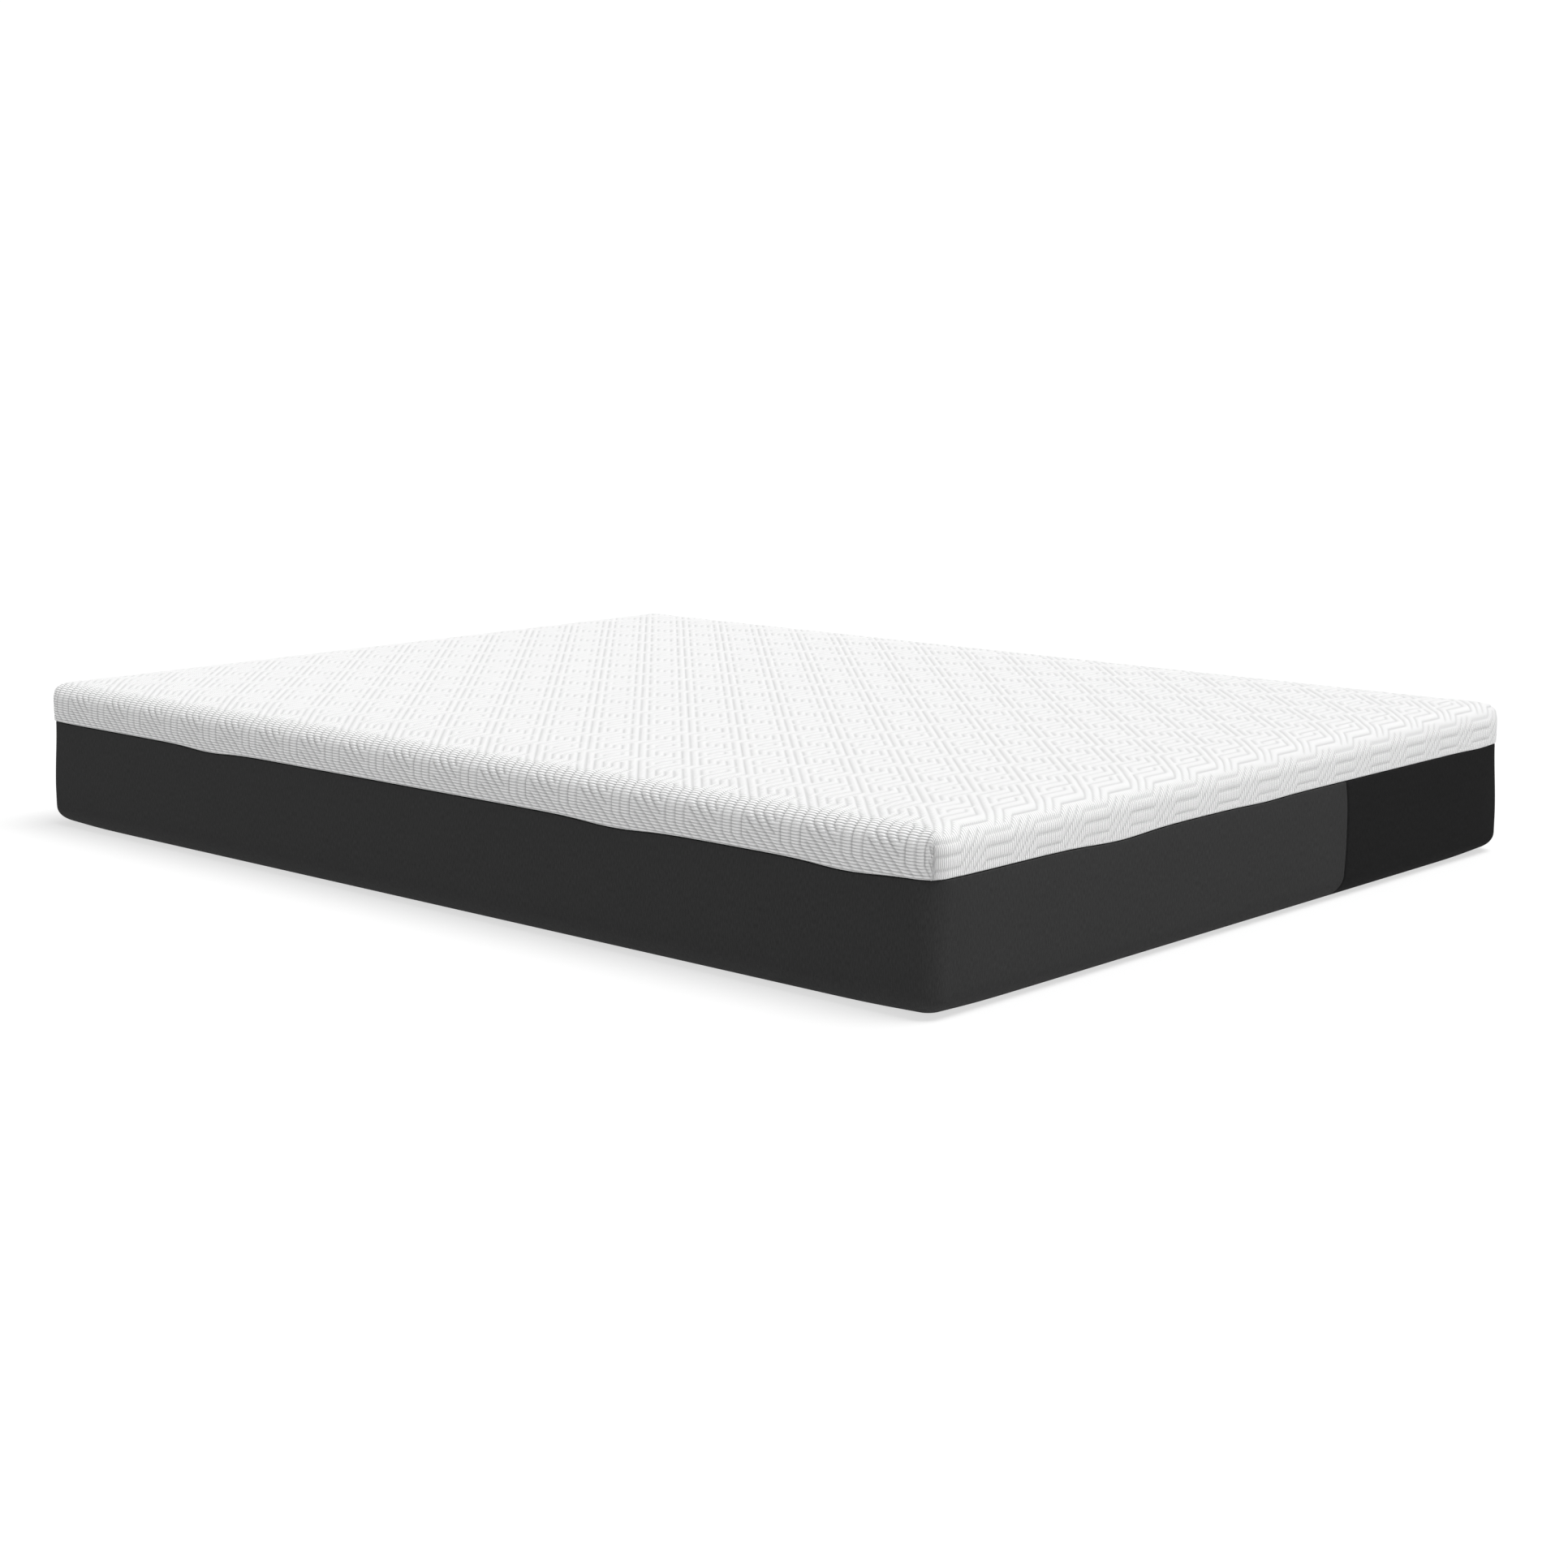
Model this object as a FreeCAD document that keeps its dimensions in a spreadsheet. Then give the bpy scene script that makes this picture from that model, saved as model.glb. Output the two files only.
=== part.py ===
import FreeCAD, Part
import Sketcher
import math
import os
import re

# Queen-size memory foam mattress: foam layers in a fire sock, inside a sewn knit cover whose
# quilted cap, grey and black border and base cloth meet at seams, closed by a zip.
#
# Frame: origin at the centre of the underside, +Z up, +X across the width, +Y to the head end.
# Padding, sock and foam are nested: each block lies inside the last by one thickness, with its
# edges rounded about the same centres, so neighbouring skins meet face to face.
# Lengths are in millimetres.

DIMENSIONS = {
    # overall size, 60 x 80 x 10 inches
    "width": 1524,
    "length": 2032,
    "height": 254,
    "edge_round": 40,
    # skins, from the outside in
    "knit_thick": 3,
    "wadding_thick": 6.5,
    "backing_thick": 1,
    "sock_thick": 1,
    # foam layers above the support core
    "memory_thick": 75,
    "transition_thick": 50,
    # cover seams: middle of the seam round the cap, width of every seam, depth of a cutting blade
    "seam_height": 185,
    "seam_width": 2,
    "blade_reach": 60,
    # black corner panel: where its joins cross the foot end and the side
    "foot_join": 254,
    "side_join": 508,
    # base cloth, inside the border that wraps under the edges
    "base_inset": 55,
    "base_corner": 30,
    # mouth of the sock, at the head end
    "mouth_width": 1300,
    "mouth_height": 150,
    # care label on the head end
    "label_width": 60,
    "label_drop": 90,
    "label_thick": 0.5,
    "label_middle": 450,
    "label_low": 85,
    # zip: height of its middle, its recess, and depths below the border's face
    "zip_height": 56,
    "recess_half": 715,
    "recess_reach": 14,
    "recess_depth": 8.6,
    "coil_half": 690,
    "coil_slot": 0.75,
    "coil_reach": 3.8,
    "coil_depth": 4.3,
    "coil_thick": 2.4,
    "tape_depth": 5.2,
    "tape_thick": 0.6,
    "stop_run": 6,
    # slider, at the closed end of its run
    "slider_middle": 682,
    "slider_run": 11,
    "slider_reach": 6,
    "plate_thick": 1.2,
    "running_gap": 0.3,
    "lip_reach": 1.8,
    "post_reach": 0.4,
    "post_run": 5,
    # pull tab, its eye, and the pin and ears that hold it
    "pin_depth": 1.4,
    "pin_radius": 0.4,
    "eye_bore": 0.6,
    "eye_radius": 1.1,
    "eye_reach": 1.8,
    "ear_thick": 0.9,
    "ear_run": 3.4,
    "tab_start": 3,
    "tab_run": 24,
    "tab_thick": 1.4,
    "tab_reach": 3.5,
    "grip_start": 14,
    "grip_radius": 1.6,
}

# Node names in the order in which they are written, with the number of solids in each.
NODES = {
    "quilt_knit_face": 1,
    "quilt_wadding": 1,
    "quilt_backing": 1,
    "corner_seams": 4,
    "cap_border_seam": 1,
    "border_gray": 1,
    "border_black": 1,
    "panel_join_seams": 2,
    "bottom_panel": 1,
    "bottom_seam": 1,
    "cover_padding": 1,
    "fire_sock": 1,
    "memory_foam_layer": 1,
    "transition_foam_layer": 1,
    "support_foam_core": 1,
    "care_label": 1,
    "zip_tape_upper": 1,
    "zip_tape_lower": 1,
    "zip_coils": 2,
    "zip_end_stops": 2,
    "zip_slider": 1,
    "zip_pull": 1,
}

# A cutting box runs this far past the faces that it opens.
PAST = 5


def make_sheet(doc):
    """The driving dimensions, one aliased cell each."""
    sheet = doc.addObject("Spreadsheet::Sheet", "Sizes")
    for row, (alias, value) in enumerate(DIMENSIONS.items(), start=1):
        sheet.set(f"A{row}", alias)
        sheet.set(f"B{row}", str(value))
        sheet.setAlias(f"B{row}", alias)
    doc.recompute()


def bind(thing, name, words):
    """Bind a property to an expression whose alias words are read from the sheet."""
    spelled = re.sub(r"[a-z_]+", lambda word: f"Sizes.{word.group()}", str(words))
    thing.setExpression(name, spelled)


def make_box(doc, name, low, size):
    """A box from its lowest corner and its size along X, Y and Z."""
    box = doc.addObject("Part::Box", name)
    for side, words in zip(("Length", "Width", "Height"), size):
        bind(box, side, words)
    for axis, words in zip("xyz", low):
        bind(box, f"Placement.Base.{axis}", words)
    return box


def make_cut(doc, name, base, tool):
    """What is left of one object once another is taken from it."""
    cut = doc.addObject("Part::Cut", name)
    cut.Base = base
    cut.Tool = tool
    return cut


def make_common(doc, name, base, tool):
    """What two objects share."""
    common = doc.addObject("Part::Common", name)
    common.Base = base
    common.Tool = tool
    return common


def make_fuse(doc, name, shapes):
    """Several objects as one."""
    fuse = doc.addObject("Part::MultiFuse", name)
    fuse.Shapes = shapes
    fuse.Refine = True
    return fuse


def draw_centred_rectangle(sketch, across, along):
    """A rectangle centred on the sketch's origin, its two sizes bound to the sheet."""
    corners = [(-1, -1), (1, -1), (1, 1), (-1, 1)]
    points = [FreeCAD.Vector(700 * x, 900 * y, 0) for x, y in corners]
    for start, end in zip(points, points[1:] + points[:1]):
        sketch.addGeometry(Part.LineSegment(start, end), False)
    for side in range(4):
        sketch.addConstraint(Sketcher.Constraint("Coincident", side, 2, (side + 1) % 4, 1))
    for side, direction in enumerate(["Horizontal", "Vertical", "Horizontal", "Vertical"]):
        sketch.addConstraint(Sketcher.Constraint(direction, side))
    sketch.addConstraint(Sketcher.Constraint("Symmetric", 0, 1, 1, 2, -1, 1))
    width = sketch.addConstraint(Sketcher.Constraint("DistanceX", 0, 1, 0, 2, 1400))
    depth = sketch.addConstraint(Sketcher.Constraint("DistanceY", 1, 1, 1, 2, 1800))
    sketch.renameConstraint(width, "across")
    sketch.renameConstraint(depth, "along")
    bind(sketch, "Constraints[%d]" % width, across)
    bind(sketch, "Constraints[%d]" % depth, along)


def make_slab(doc, name, across, along, bottom, tall):
    """A body padded up from a centred rectangle at the height that bottom gives."""
    body = doc.addObject("PartDesign::Body", name)
    plane = next(plane for plane in body.Origin.OriginFeatures if plane.Role == "XY_Plane")
    plan = body.newObject("Sketcher::SketchObject", f"{name}_plan")
    plan.AttachmentSupport = [(plane, "")]
    plan.MapMode = "FlatFace"
    bind(plan, "AttachmentOffset.Base.z", bottom)
    draw_centred_rectangle(plan, across, along)
    pad = body.newObject("PartDesign::Pad", f"{name}_pad")
    pad.Profile = plan
    bind(pad, "Length", tall)
    doc.recompute()
    return body


def round_edges(doc, body, radius, upright_only):
    """Round all the edges of a slab, or only its four upright ones."""
    pad = body.Tip
    chosen = []
    for number, edge in enumerate(pad.Shape.Edges, start=1):
        upright = abs(edge.tangentAt(edge.FirstParameter).z) > 0.9
        if upright or not upright_only:
            chosen.append(f"Edge{number}")
    fillet = body.newObject("PartDesign::Fillet", f"{body.Name}_round")
    fillet.Base = (pad, chosen)
    bind(fillet, "Radius", radius)
    body.Tip = fillet
    doc.recompute()


def make_nested_block(doc, name, inset):
    """The mattress's outer form, drawn in by inset on every side."""
    body = make_slab(
        doc,
        name,
        across=f"width - 2 * ({inset})",
        along=f"length - 2 * ({inset})",
        bottom=inset,
        tall=f"height - 2 * ({inset})",
    )
    round_edges(doc, body, radius=f"edge_round - ({inset})", upright_only=False)
    return body


def make_level(doc, name, low, high):
    """A box over the whole plan between two heights."""
    corner = (f"0 - width / 2 - {PAST}", f"0 - length / 2 - {PAST}", low)
    size = (f"width + 2 * {PAST}", f"length + 2 * {PAST}", f"({high}) - ({low})")
    return make_box(doc, name, corner, size)


def make_corner_blades(doc):
    """Four thin upright blades, each on the diagonal of one vertical corner."""
    blades = []
    for number, (side_x, side_y) in enumerate([(1, 1), (-1, 1), (-1, -1), (1, -1)]):
        turn = 45 + 90 * number
        ahead = math.sin(math.radians(turn))
        beside = math.cos(math.radians(turn))
        blade = make_box(
            doc,
            f"corner_blade_{number}",
            low=(
                f"{side_x} * (width / 2 - edge_round) + {ahead:.6f} * seam_width / 2",
                f"{side_y} * (length / 2 - edge_round) - {beside:.6f} * seam_width / 2",
                "seam_height",
            ),
            size=("blade_reach", "seam_width", "height - edge_round - seam_height"),
        )
        blade.setExpression("Placement.Rotation.Angle", str(turn))
        blades.append(blade)
    return make_fuse(doc, "corner_blades", blades)


def make_cap(doc, blocks):
    """The quilted cap: knit face, corner seams, wadding and backing."""
    seam_top = "seam_height + seam_width / 2"
    skin = make_cut(doc, "outer_skin", blocks["outer"], blocks["knit"])
    above = make_level(doc, "above_seam", seam_top, f"height + {PAST}")
    seam = make_level(doc, "at_seam", "seam_height - seam_width / 2", seam_top)
    upper = make_level(doc, "above_lining_split", "seam_height", f"height + {PAST}")
    cap_skin = make_common(doc, "cap_skin", skin, above)
    blades = make_corner_blades(doc)
    make_cut(doc, "quilt_knit_face", cap_skin, blades)
    make_common(doc, "corner_seams", cap_skin, blades)
    make_common(doc, "cap_border_seam", skin, seam)
    wadding_skin = make_cut(doc, "wadding_skin", blocks["knit"], blocks["wadding"])
    backing_skin = make_cut(doc, "backing_skin", blocks["wadding"], blocks["lining"])
    make_common(doc, "quilt_wadding", wadding_skin, upper)
    make_common(doc, "quilt_backing", backing_skin, upper)
    return skin


def make_base(doc):
    """The base cloth, and the seam round it as a ring."""
    panel = make_slab(
        doc, "bottom_panel", "width - 2 * base_inset", "length - 2 * base_inset", 0, "knit_thick"
    )
    round_edges(doc, panel, "base_corner", upright_only=True)
    field = make_slab(
        doc,
        "base_field",
        "width - 2 * (base_inset - seam_width)",
        "length - 2 * (base_inset - seam_width)",
        0,
        "knit_thick",
    )
    round_edges(doc, field, "base_corner + seam_width", upright_only=True)
    make_cut(doc, "bottom_seam", field, panel)
    return field


def make_border(doc, skin, field, recess):
    """The border that wraps round and under: grey, black corner panel and their joins."""
    below = make_level(doc, "below_seam", f"0 - {PAST}", "seam_height - seam_width / 2")
    label = make_box(
        doc,
        "care_label",
        low=("label_middle - label_width / 2", "length / 2 - label_thick", "label_low"),
        size=("label_width", "label_thick", "label_drop"),
    )
    wrap = make_common(doc, "border_skin", skin, below)
    openings = make_fuse(doc, "border_openings", [field, recess, label])
    border = make_cut(doc, "border_all_round", wrap, openings)
    tall = f"seam_height + 2 * {PAST}"
    foot_blade = make_box(
        doc,
        "foot_join_blade",
        low=("foot_join - seam_width / 2", f"0 - length / 2 - {PAST}", f"0 - {PAST}"),
        size=("seam_width", "blade_reach", tall),
    )
    side_blade = make_box(
        doc,
        "side_join_blade",
        low=(
            f"width / 2 - blade_reach + {PAST}",
            "side_join - length / 2 - seam_width / 2",
            f"0 - {PAST}",
        ),
        size=("blade_reach", "seam_width", tall),
    )
    corner = make_box(
        doc,
        "black_corner",
        low=("foot_join + seam_width / 2", f"0 - length / 2 - {PAST}", f"0 - {PAST}"),
        size=(
            f"width / 2 - foot_join - seam_width / 2 + {PAST}",
            f"side_join - seam_width / 2 + {PAST}",
            tall,
        ),
    )
    joins = make_fuse(doc, "join_blades", [foot_blade, side_blade])
    make_common(doc, "panel_join_seams", border, joins)
    make_common(doc, "border_black", border, corner)
    beyond = make_fuse(doc, "beyond_grey", [joins, corner])
    make_cut(doc, "border_gray", border, beyond)


def make_inside(doc, blocks, recess):
    """Padding behind the border and base, fire sock and the three foam layers."""
    lower = make_level(doc, "below_lining_split", f"0 - {PAST}", "seam_height")
    tub = make_cut(doc, "padding_skin", blocks["knit"], blocks["lining"])
    tub_below = make_common(doc, "padding_below", tub, lower)
    make_cut(doc, "cover_padding", tub_below, recess)
    bag = make_cut(doc, "sock_bag", blocks["lining"], blocks["sock"])
    mouth = make_box(
        doc,
        "sock_mouth",
        low=("0 - mouth_width / 2", "length / 2 - blade_reach / 2", "(height - mouth_height) / 2"),
        size=("mouth_width", "blade_reach / 2", "mouth_height"),
    )
    make_cut(doc, "fire_sock", bag, mouth)
    foam_top = "height - knit_thick - wadding_thick - backing_thick - sock_thick"
    memory_low = f"{foam_top} - memory_thick"
    core_top = f"{memory_low} - transition_thick"
    layers = {
        "memory_foam_layer": (memory_low, f"{foam_top} + {PAST}"),
        "transition_foam_layer": (core_top, memory_low),
        "support_foam_core": (f"0 - {PAST}", core_top),
    }
    for name, (low, high) in layers.items():
        level = make_level(doc, f"{name}_level", low, high)
        make_common(doc, name, blocks["sock"], level)


def make_zip_box(doc, name, along, across, deep):
    """A box in the zip: its run along X, its span from the zip's middle, and its depths."""
    low = (along[0], f"length / 2 - ({deep[1]})", f"zip_height + ({across[0]})")
    size = (
        f"({along[1]}) - ({along[0]})",
        f"({deep[1]}) - ({deep[0]})",
        f"({across[1]}) - ({across[0]})",
    )
    return make_box(doc, name, low, size)


def make_recess(doc):
    """The recess in the border that the zip lies in."""
    return make_zip_box(
        doc,
        "zip_recess",
        along=("0 - recess_half", "recess_half"),
        across=("0 - recess_reach", "recess_reach"),
        deep=(f"0 - {PAST}", "recess_depth"),
    )


def make_zip_track(doc):
    """Both tapes, both coils and the stops at the two ends."""
    tape_deep = ("tape_depth", "tape_depth + tape_thick")
    coil_deep = ("coil_depth", "coil_depth + coil_thick")
    whole = ("0 - recess_half", "recess_half")
    run = ("0 - coil_half", "coil_half")
    make_zip_box(doc, "zip_tape_upper", whole, ("coil_reach", "recess_reach"), tape_deep)
    make_zip_box(doc, "zip_tape_lower", whole, ("0 - recess_reach", "0 - coil_reach"), tape_deep)
    upper = make_zip_box(doc, "coil_upper", run, ("coil_slot", "coil_reach"), coil_deep)
    lower = make_zip_box(doc, "coil_lower", run, ("0 - coil_reach", "0 - coil_slot"), coil_deep)
    make_fuse(doc, "zip_coils", [upper, lower])
    width = ("0 - coil_reach", "coil_reach")
    closed = make_zip_box(doc, "stop_closed", ("coil_half", "coil_half + stop_run"), width, coil_deep)
    opened = make_zip_box(
        doc, "stop_open", ("0 - coil_half - stop_run", "0 - coil_half"), width, coil_deep
    )
    make_fuse(doc, "zip_end_stops", [closed, opened])


def about_slider(reach):
    """A run along X, centred on the slider."""
    return (f"slider_middle - ({reach})", f"slider_middle + ({reach})")


def make_zip_pin(doc, name, radius, reach):
    """A cylinder on the pull tab's hinge axis, upright, centred on the zip's middle."""
    pin = doc.addObject("Part::Cylinder", name)
    bind(pin, "Radius", radius)
    bind(pin, "Height", f"2 * ({reach})")
    bind(pin, "Placement.Base.x", "slider_middle")
    bind(pin, "Placement.Base.y", "length / 2 - pin_depth")
    bind(pin, "Placement.Base.z", f"zip_height - ({reach})")
    return pin


def make_slider(doc):
    """Two lipped plates joined by a post between the coils, with two ears and a pin."""
    body_run = about_slider("slider_run / 2")
    outer_face = "coil_depth - running_gap"
    inner_face = "coil_depth + coil_thick + running_gap"
    plate_face = f"{outer_face} - plate_thick"
    width = ("0 - slider_reach", "slider_reach")
    pieces = [
        make_zip_box(doc, "outer_plate", body_run, width, (plate_face, outer_face)),
        make_zip_box(doc, "inner_plate", body_run, width, (inner_face, f"{inner_face} + plate_thick")),
        make_zip_box(
            doc,
            "slider_post",
            about_slider("post_run / 2"),
            ("0 - post_reach", "post_reach"),
            (outer_face, inner_face),
        ),
    ]
    lip = ("slider_reach - lip_reach", "slider_reach")
    ear = ("eye_reach + running_gap", "eye_reach + running_gap + ear_thick")
    sides = {"upper": lambda span: span, "lower": lambda span: (f"0 - ({span[1]})", f"0 - ({span[0]})")}
    for side, place in sides.items():
        outer_lip = (outer_face, "tape_depth - running_gap")
        inner_lip = ("tape_depth + tape_thick + running_gap", inner_face)
        ear_deep = ("pin_depth - eye_radius", plate_face)
        pieces.append(make_zip_box(doc, f"outer_lip_{side}", body_run, place(lip), outer_lip))
        pieces.append(make_zip_box(doc, f"inner_lip_{side}", body_run, place(lip), inner_lip))
        ear_run = about_slider("ear_run / 2")
        pieces.append(make_zip_box(doc, f"ear_{side}", ear_run, place(ear), ear_deep))
    pieces.append(make_zip_pin(doc, "pull_pin", "pin_radius", "eye_reach + running_gap + ear_thick"))
    make_fuse(doc, "zip_slider", pieces)


def make_pull(doc):
    """The pull tab: an eye round the pin, a neck and a flat tab with a hole in it."""
    deep = ("pin_depth - tab_thick / 2", "pin_depth + tab_thick / 2")
    eye = make_zip_pin(doc, "pull_eye", "eye_radius", "eye_reach")
    neck = make_zip_box(
        doc,
        "pull_neck",
        ("slider_middle - tab_start", "slider_middle - eye_bore"),
        ("0 - eye_reach", "eye_reach"),
        deep,
    )
    tab = make_zip_box(
        doc,
        "pull_tab",
        ("slider_middle - tab_start - tab_run", "slider_middle - tab_start"),
        ("0 - tab_reach", "tab_reach"),
        deep,
    )
    solid = make_fuse(doc, "pull_solid", [eye, neck, tab])
    bore = make_zip_pin(doc, "pull_bore", "eye_bore", "eye_reach + running_gap")
    grip = doc.addObject("Part::Cylinder", "pull_grip")
    grip.Placement = FreeCAD.Placement(
        FreeCAD.Vector(0, 0, 0), FreeCAD.Rotation(FreeCAD.Vector(1, 0, 0), 90)
    )
    bind(grip, "Radius", "grip_radius")
    bind(grip, "Height", "2 * tab_thick")
    bind(grip, "Placement.Base.x", "slider_middle - tab_start - grip_start")
    bind(grip, "Placement.Base.y", "length / 2 - pin_depth + tab_thick")
    bind(grip, "Placement.Base.z", "zip_height")
    holes = make_fuse(doc, "pull_holes", [bore, grip])
    make_cut(doc, "zip_pull", solid, holes)


def check(doc):
    """Stop if any object failed or any sub-part isn't the closed solid that it should be."""
    for thing in doc.Objects:
        if "Invalid" in thing.State or "Error" in thing.State:
            raise RuntimeError(f"{thing.Name} failed: {thing.State}")
    for name, count in NODES.items():
        shape = doc.getObject(name).Shape
        if shape.isNull() or not shape.isValid():
            raise RuntimeError(f"{name} has no valid shape")
        if len(shape.Solids) != count:
            raise RuntimeError(f"{name} has {len(shape.Solids)} solids, not {count}")


def main():
    """Build the mattress, check it, and write each sub-part to its own file."""
    doc = FreeCAD.newDocument("memory_foam_mattress")
    make_sheet(doc)
    insets = {
        "outer": "0",
        "knit": "knit_thick",
        "wadding": "knit_thick + wadding_thick",
        "lining": "knit_thick + wadding_thick + backing_thick",
        "sock": "knit_thick + wadding_thick + backing_thick + sock_thick",
    }
    blocks = {name: make_nested_block(doc, f"{name}_block", inset) for name, inset in insets.items()}
    recess = make_recess(doc)
    skin = make_cap(doc, blocks)
    field = make_base(doc)
    make_border(doc, skin, field, recess)
    make_inside(doc, blocks, recess)
    make_zip_track(doc)
    make_slider(doc)
    make_pull(doc)
    doc.recompute()
    check(doc)
    os.makedirs("parts", exist_ok=True)
    for name in NODES:
        part = doc.getObject(name)
        part.Label = name
        part.Shape.exportStep(f"parts/{name}.step")
        print(f"{name}: {part.Shape.Volume / 1000:.2f} cm3")


main()
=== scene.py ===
"""Looks of a queen-size memory foam mattress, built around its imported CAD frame.

The cover is a quilted white cap over a gray and black knit border. Inside are a
fire sock and three foam layers, and a zip runs across the head end.
Lengths are metres. The foot end is -Y, and the border's outline is walked
anticlockwise from the foot end's -X corner.
"""
import logging
import math
from dataclasses import dataclass, field
from enum import Enum

import bpy
import numpy as np
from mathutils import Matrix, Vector


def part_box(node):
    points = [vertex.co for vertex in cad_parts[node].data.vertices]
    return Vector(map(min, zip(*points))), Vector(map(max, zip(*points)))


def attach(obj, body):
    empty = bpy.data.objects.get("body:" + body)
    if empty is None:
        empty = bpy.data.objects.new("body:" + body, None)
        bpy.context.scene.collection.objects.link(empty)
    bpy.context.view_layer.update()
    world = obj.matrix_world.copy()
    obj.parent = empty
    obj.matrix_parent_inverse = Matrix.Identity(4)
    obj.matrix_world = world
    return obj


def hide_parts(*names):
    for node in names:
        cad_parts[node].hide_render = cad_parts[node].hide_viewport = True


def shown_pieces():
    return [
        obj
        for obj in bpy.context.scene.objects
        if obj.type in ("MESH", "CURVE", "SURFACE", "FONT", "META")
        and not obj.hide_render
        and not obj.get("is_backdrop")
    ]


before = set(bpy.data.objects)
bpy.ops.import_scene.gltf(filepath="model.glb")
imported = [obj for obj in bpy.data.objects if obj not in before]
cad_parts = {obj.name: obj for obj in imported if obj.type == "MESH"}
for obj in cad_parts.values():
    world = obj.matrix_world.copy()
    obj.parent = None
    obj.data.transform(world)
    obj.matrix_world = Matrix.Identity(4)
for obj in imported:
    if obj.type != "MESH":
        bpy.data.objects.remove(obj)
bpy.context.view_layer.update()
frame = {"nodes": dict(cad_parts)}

log = logging.getLogger("mattress")
MM = 0.001


class Panel(Enum):
    """The two cloths of the border."""

    GRAY = "border_gray"
    BLACK = "border_black"


class Tone(Enum):
    """Base colours, as linear red, green and blue."""

    QUILT_WHITE = (0.975, 0.975, 0.975)
    THREAD_WHITE = (0.86, 0.86, 0.86)
    CHARCOAL = (0.0396, 0.0396, 0.0398)
    BLACK = (0.0131, 0.0131, 0.0133)
    SEAM_DARK = (0.012, 0.012, 0.012)
    BASE_GRAY = (0.085, 0.085, 0.09)
    FLEECE = (0.88, 0.88, 0.86)
    PADDING = (0.62, 0.62, 0.58)
    SOCK = (0.8, 0.78, 0.72)
    CREAM_FOAM = (0.84, 0.77, 0.58)
    BLUE_FOAM = (0.42, 0.6, 0.72)
    IVORY_FOAM = (0.72, 0.7, 0.66)
    LABEL = (0.84, 0.84, 0.82)
    ZIP_BLACK = (0.01, 0.01, 0.01)
    PAINTED = (0.012, 0.012, 0.013)
    FLOOR = (0.3, 0.3, 0.3)


# ---------------------------------------------------------------- small tools


def smooth(value: np.ndarray, low: float, high: float) -> np.ndarray:
    """An S-shaped step: 0 up to low, 1 from high, and 3t^2 - 2t^3 between.

    Args:
        value: where the step is read.
        low: where it starts to rise.
        high: where it has risen.

    Returns:
        The step at each value.
    """
    t = np.clip((value - low) / (high - low), 0.0, 1.0)
    return t * t * (3.0 - 2.0 * t)


def normalised(vectors: np.ndarray) -> np.ndarray:
    """The vectors of the last axis, each divided by its length."""
    return vectors / np.maximum(np.linalg.norm(vectors, axis=-1, keepdims=True), 1e-12)


def packed_steps(start: float, end: float, step: float,
                 fine: list[tuple[float, float, float]]) -> np.ndarray:
    """Places from start to end, a step apart, and closer together at the named spots.

    Args:
        start: first place.
        end: last place.
        step: distance between places elsewhere.
        fine: each spot's place, half width and step.

    Returns:
        The places, sorted, none nearer to the next than a third of the finest step.
    """
    count = max(2, int(round(abs(end - start) / step)) + 1)
    places = [np.linspace(start, end, count)]
    smallest = step
    for centre, half, close in fine:
        places.append(np.arange(centre - half, centre + half + close / 2, close))
        smallest = min(smallest, close)
    low, high = min(start, end), max(start, end)
    merged = np.unique(np.concatenate(places))
    merged = merged[(merged >= low) & (merged <= high)]
    gaps = np.diff(merged, prepend=merged[0] - 1.0)
    merged = merged[gaps > smallest / 3]
    merged[-1] = high
    return merged if end > start else merged[::-1]


def even_path(line: np.ndarray, count: int) -> tuple[np.ndarray, np.ndarray]:
    """Places evenly spaced along a line.

    Args:
        line: points of the line.
        count: how many places.

    Returns:
        The places, and how far along the line each is.
    """
    distance = np.concatenate([[0.0], np.cumsum(np.linalg.norm(np.diff(line, axis=0), axis=1))])
    wanted = np.linspace(0.0, distance[-1], count)
    return np.stack([np.interp(wanted, distance, line[:, k]) for k in range(3)], axis=-1), wanted


def quads_of(ids: np.ndarray, keep: np.ndarray | None = None) -> np.ndarray:
    """Four-sided faces between neighbours of a grid of vertex numbers.

    Args:
        ids: vertex numbers, rows by columns.
        keep: which cells get a face, rows - 1 by columns - 1, or None for all.

    Returns:
        One row of four vertex numbers for each face, row first and then column.
    """
    cells = np.stack([ids[:-1, :-1], ids[1:, :-1], ids[1:, 1:], ids[:-1, 1:]], axis=-1)
    return cells[keep] if keep is not None else cells.reshape(-1, 4)


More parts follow.
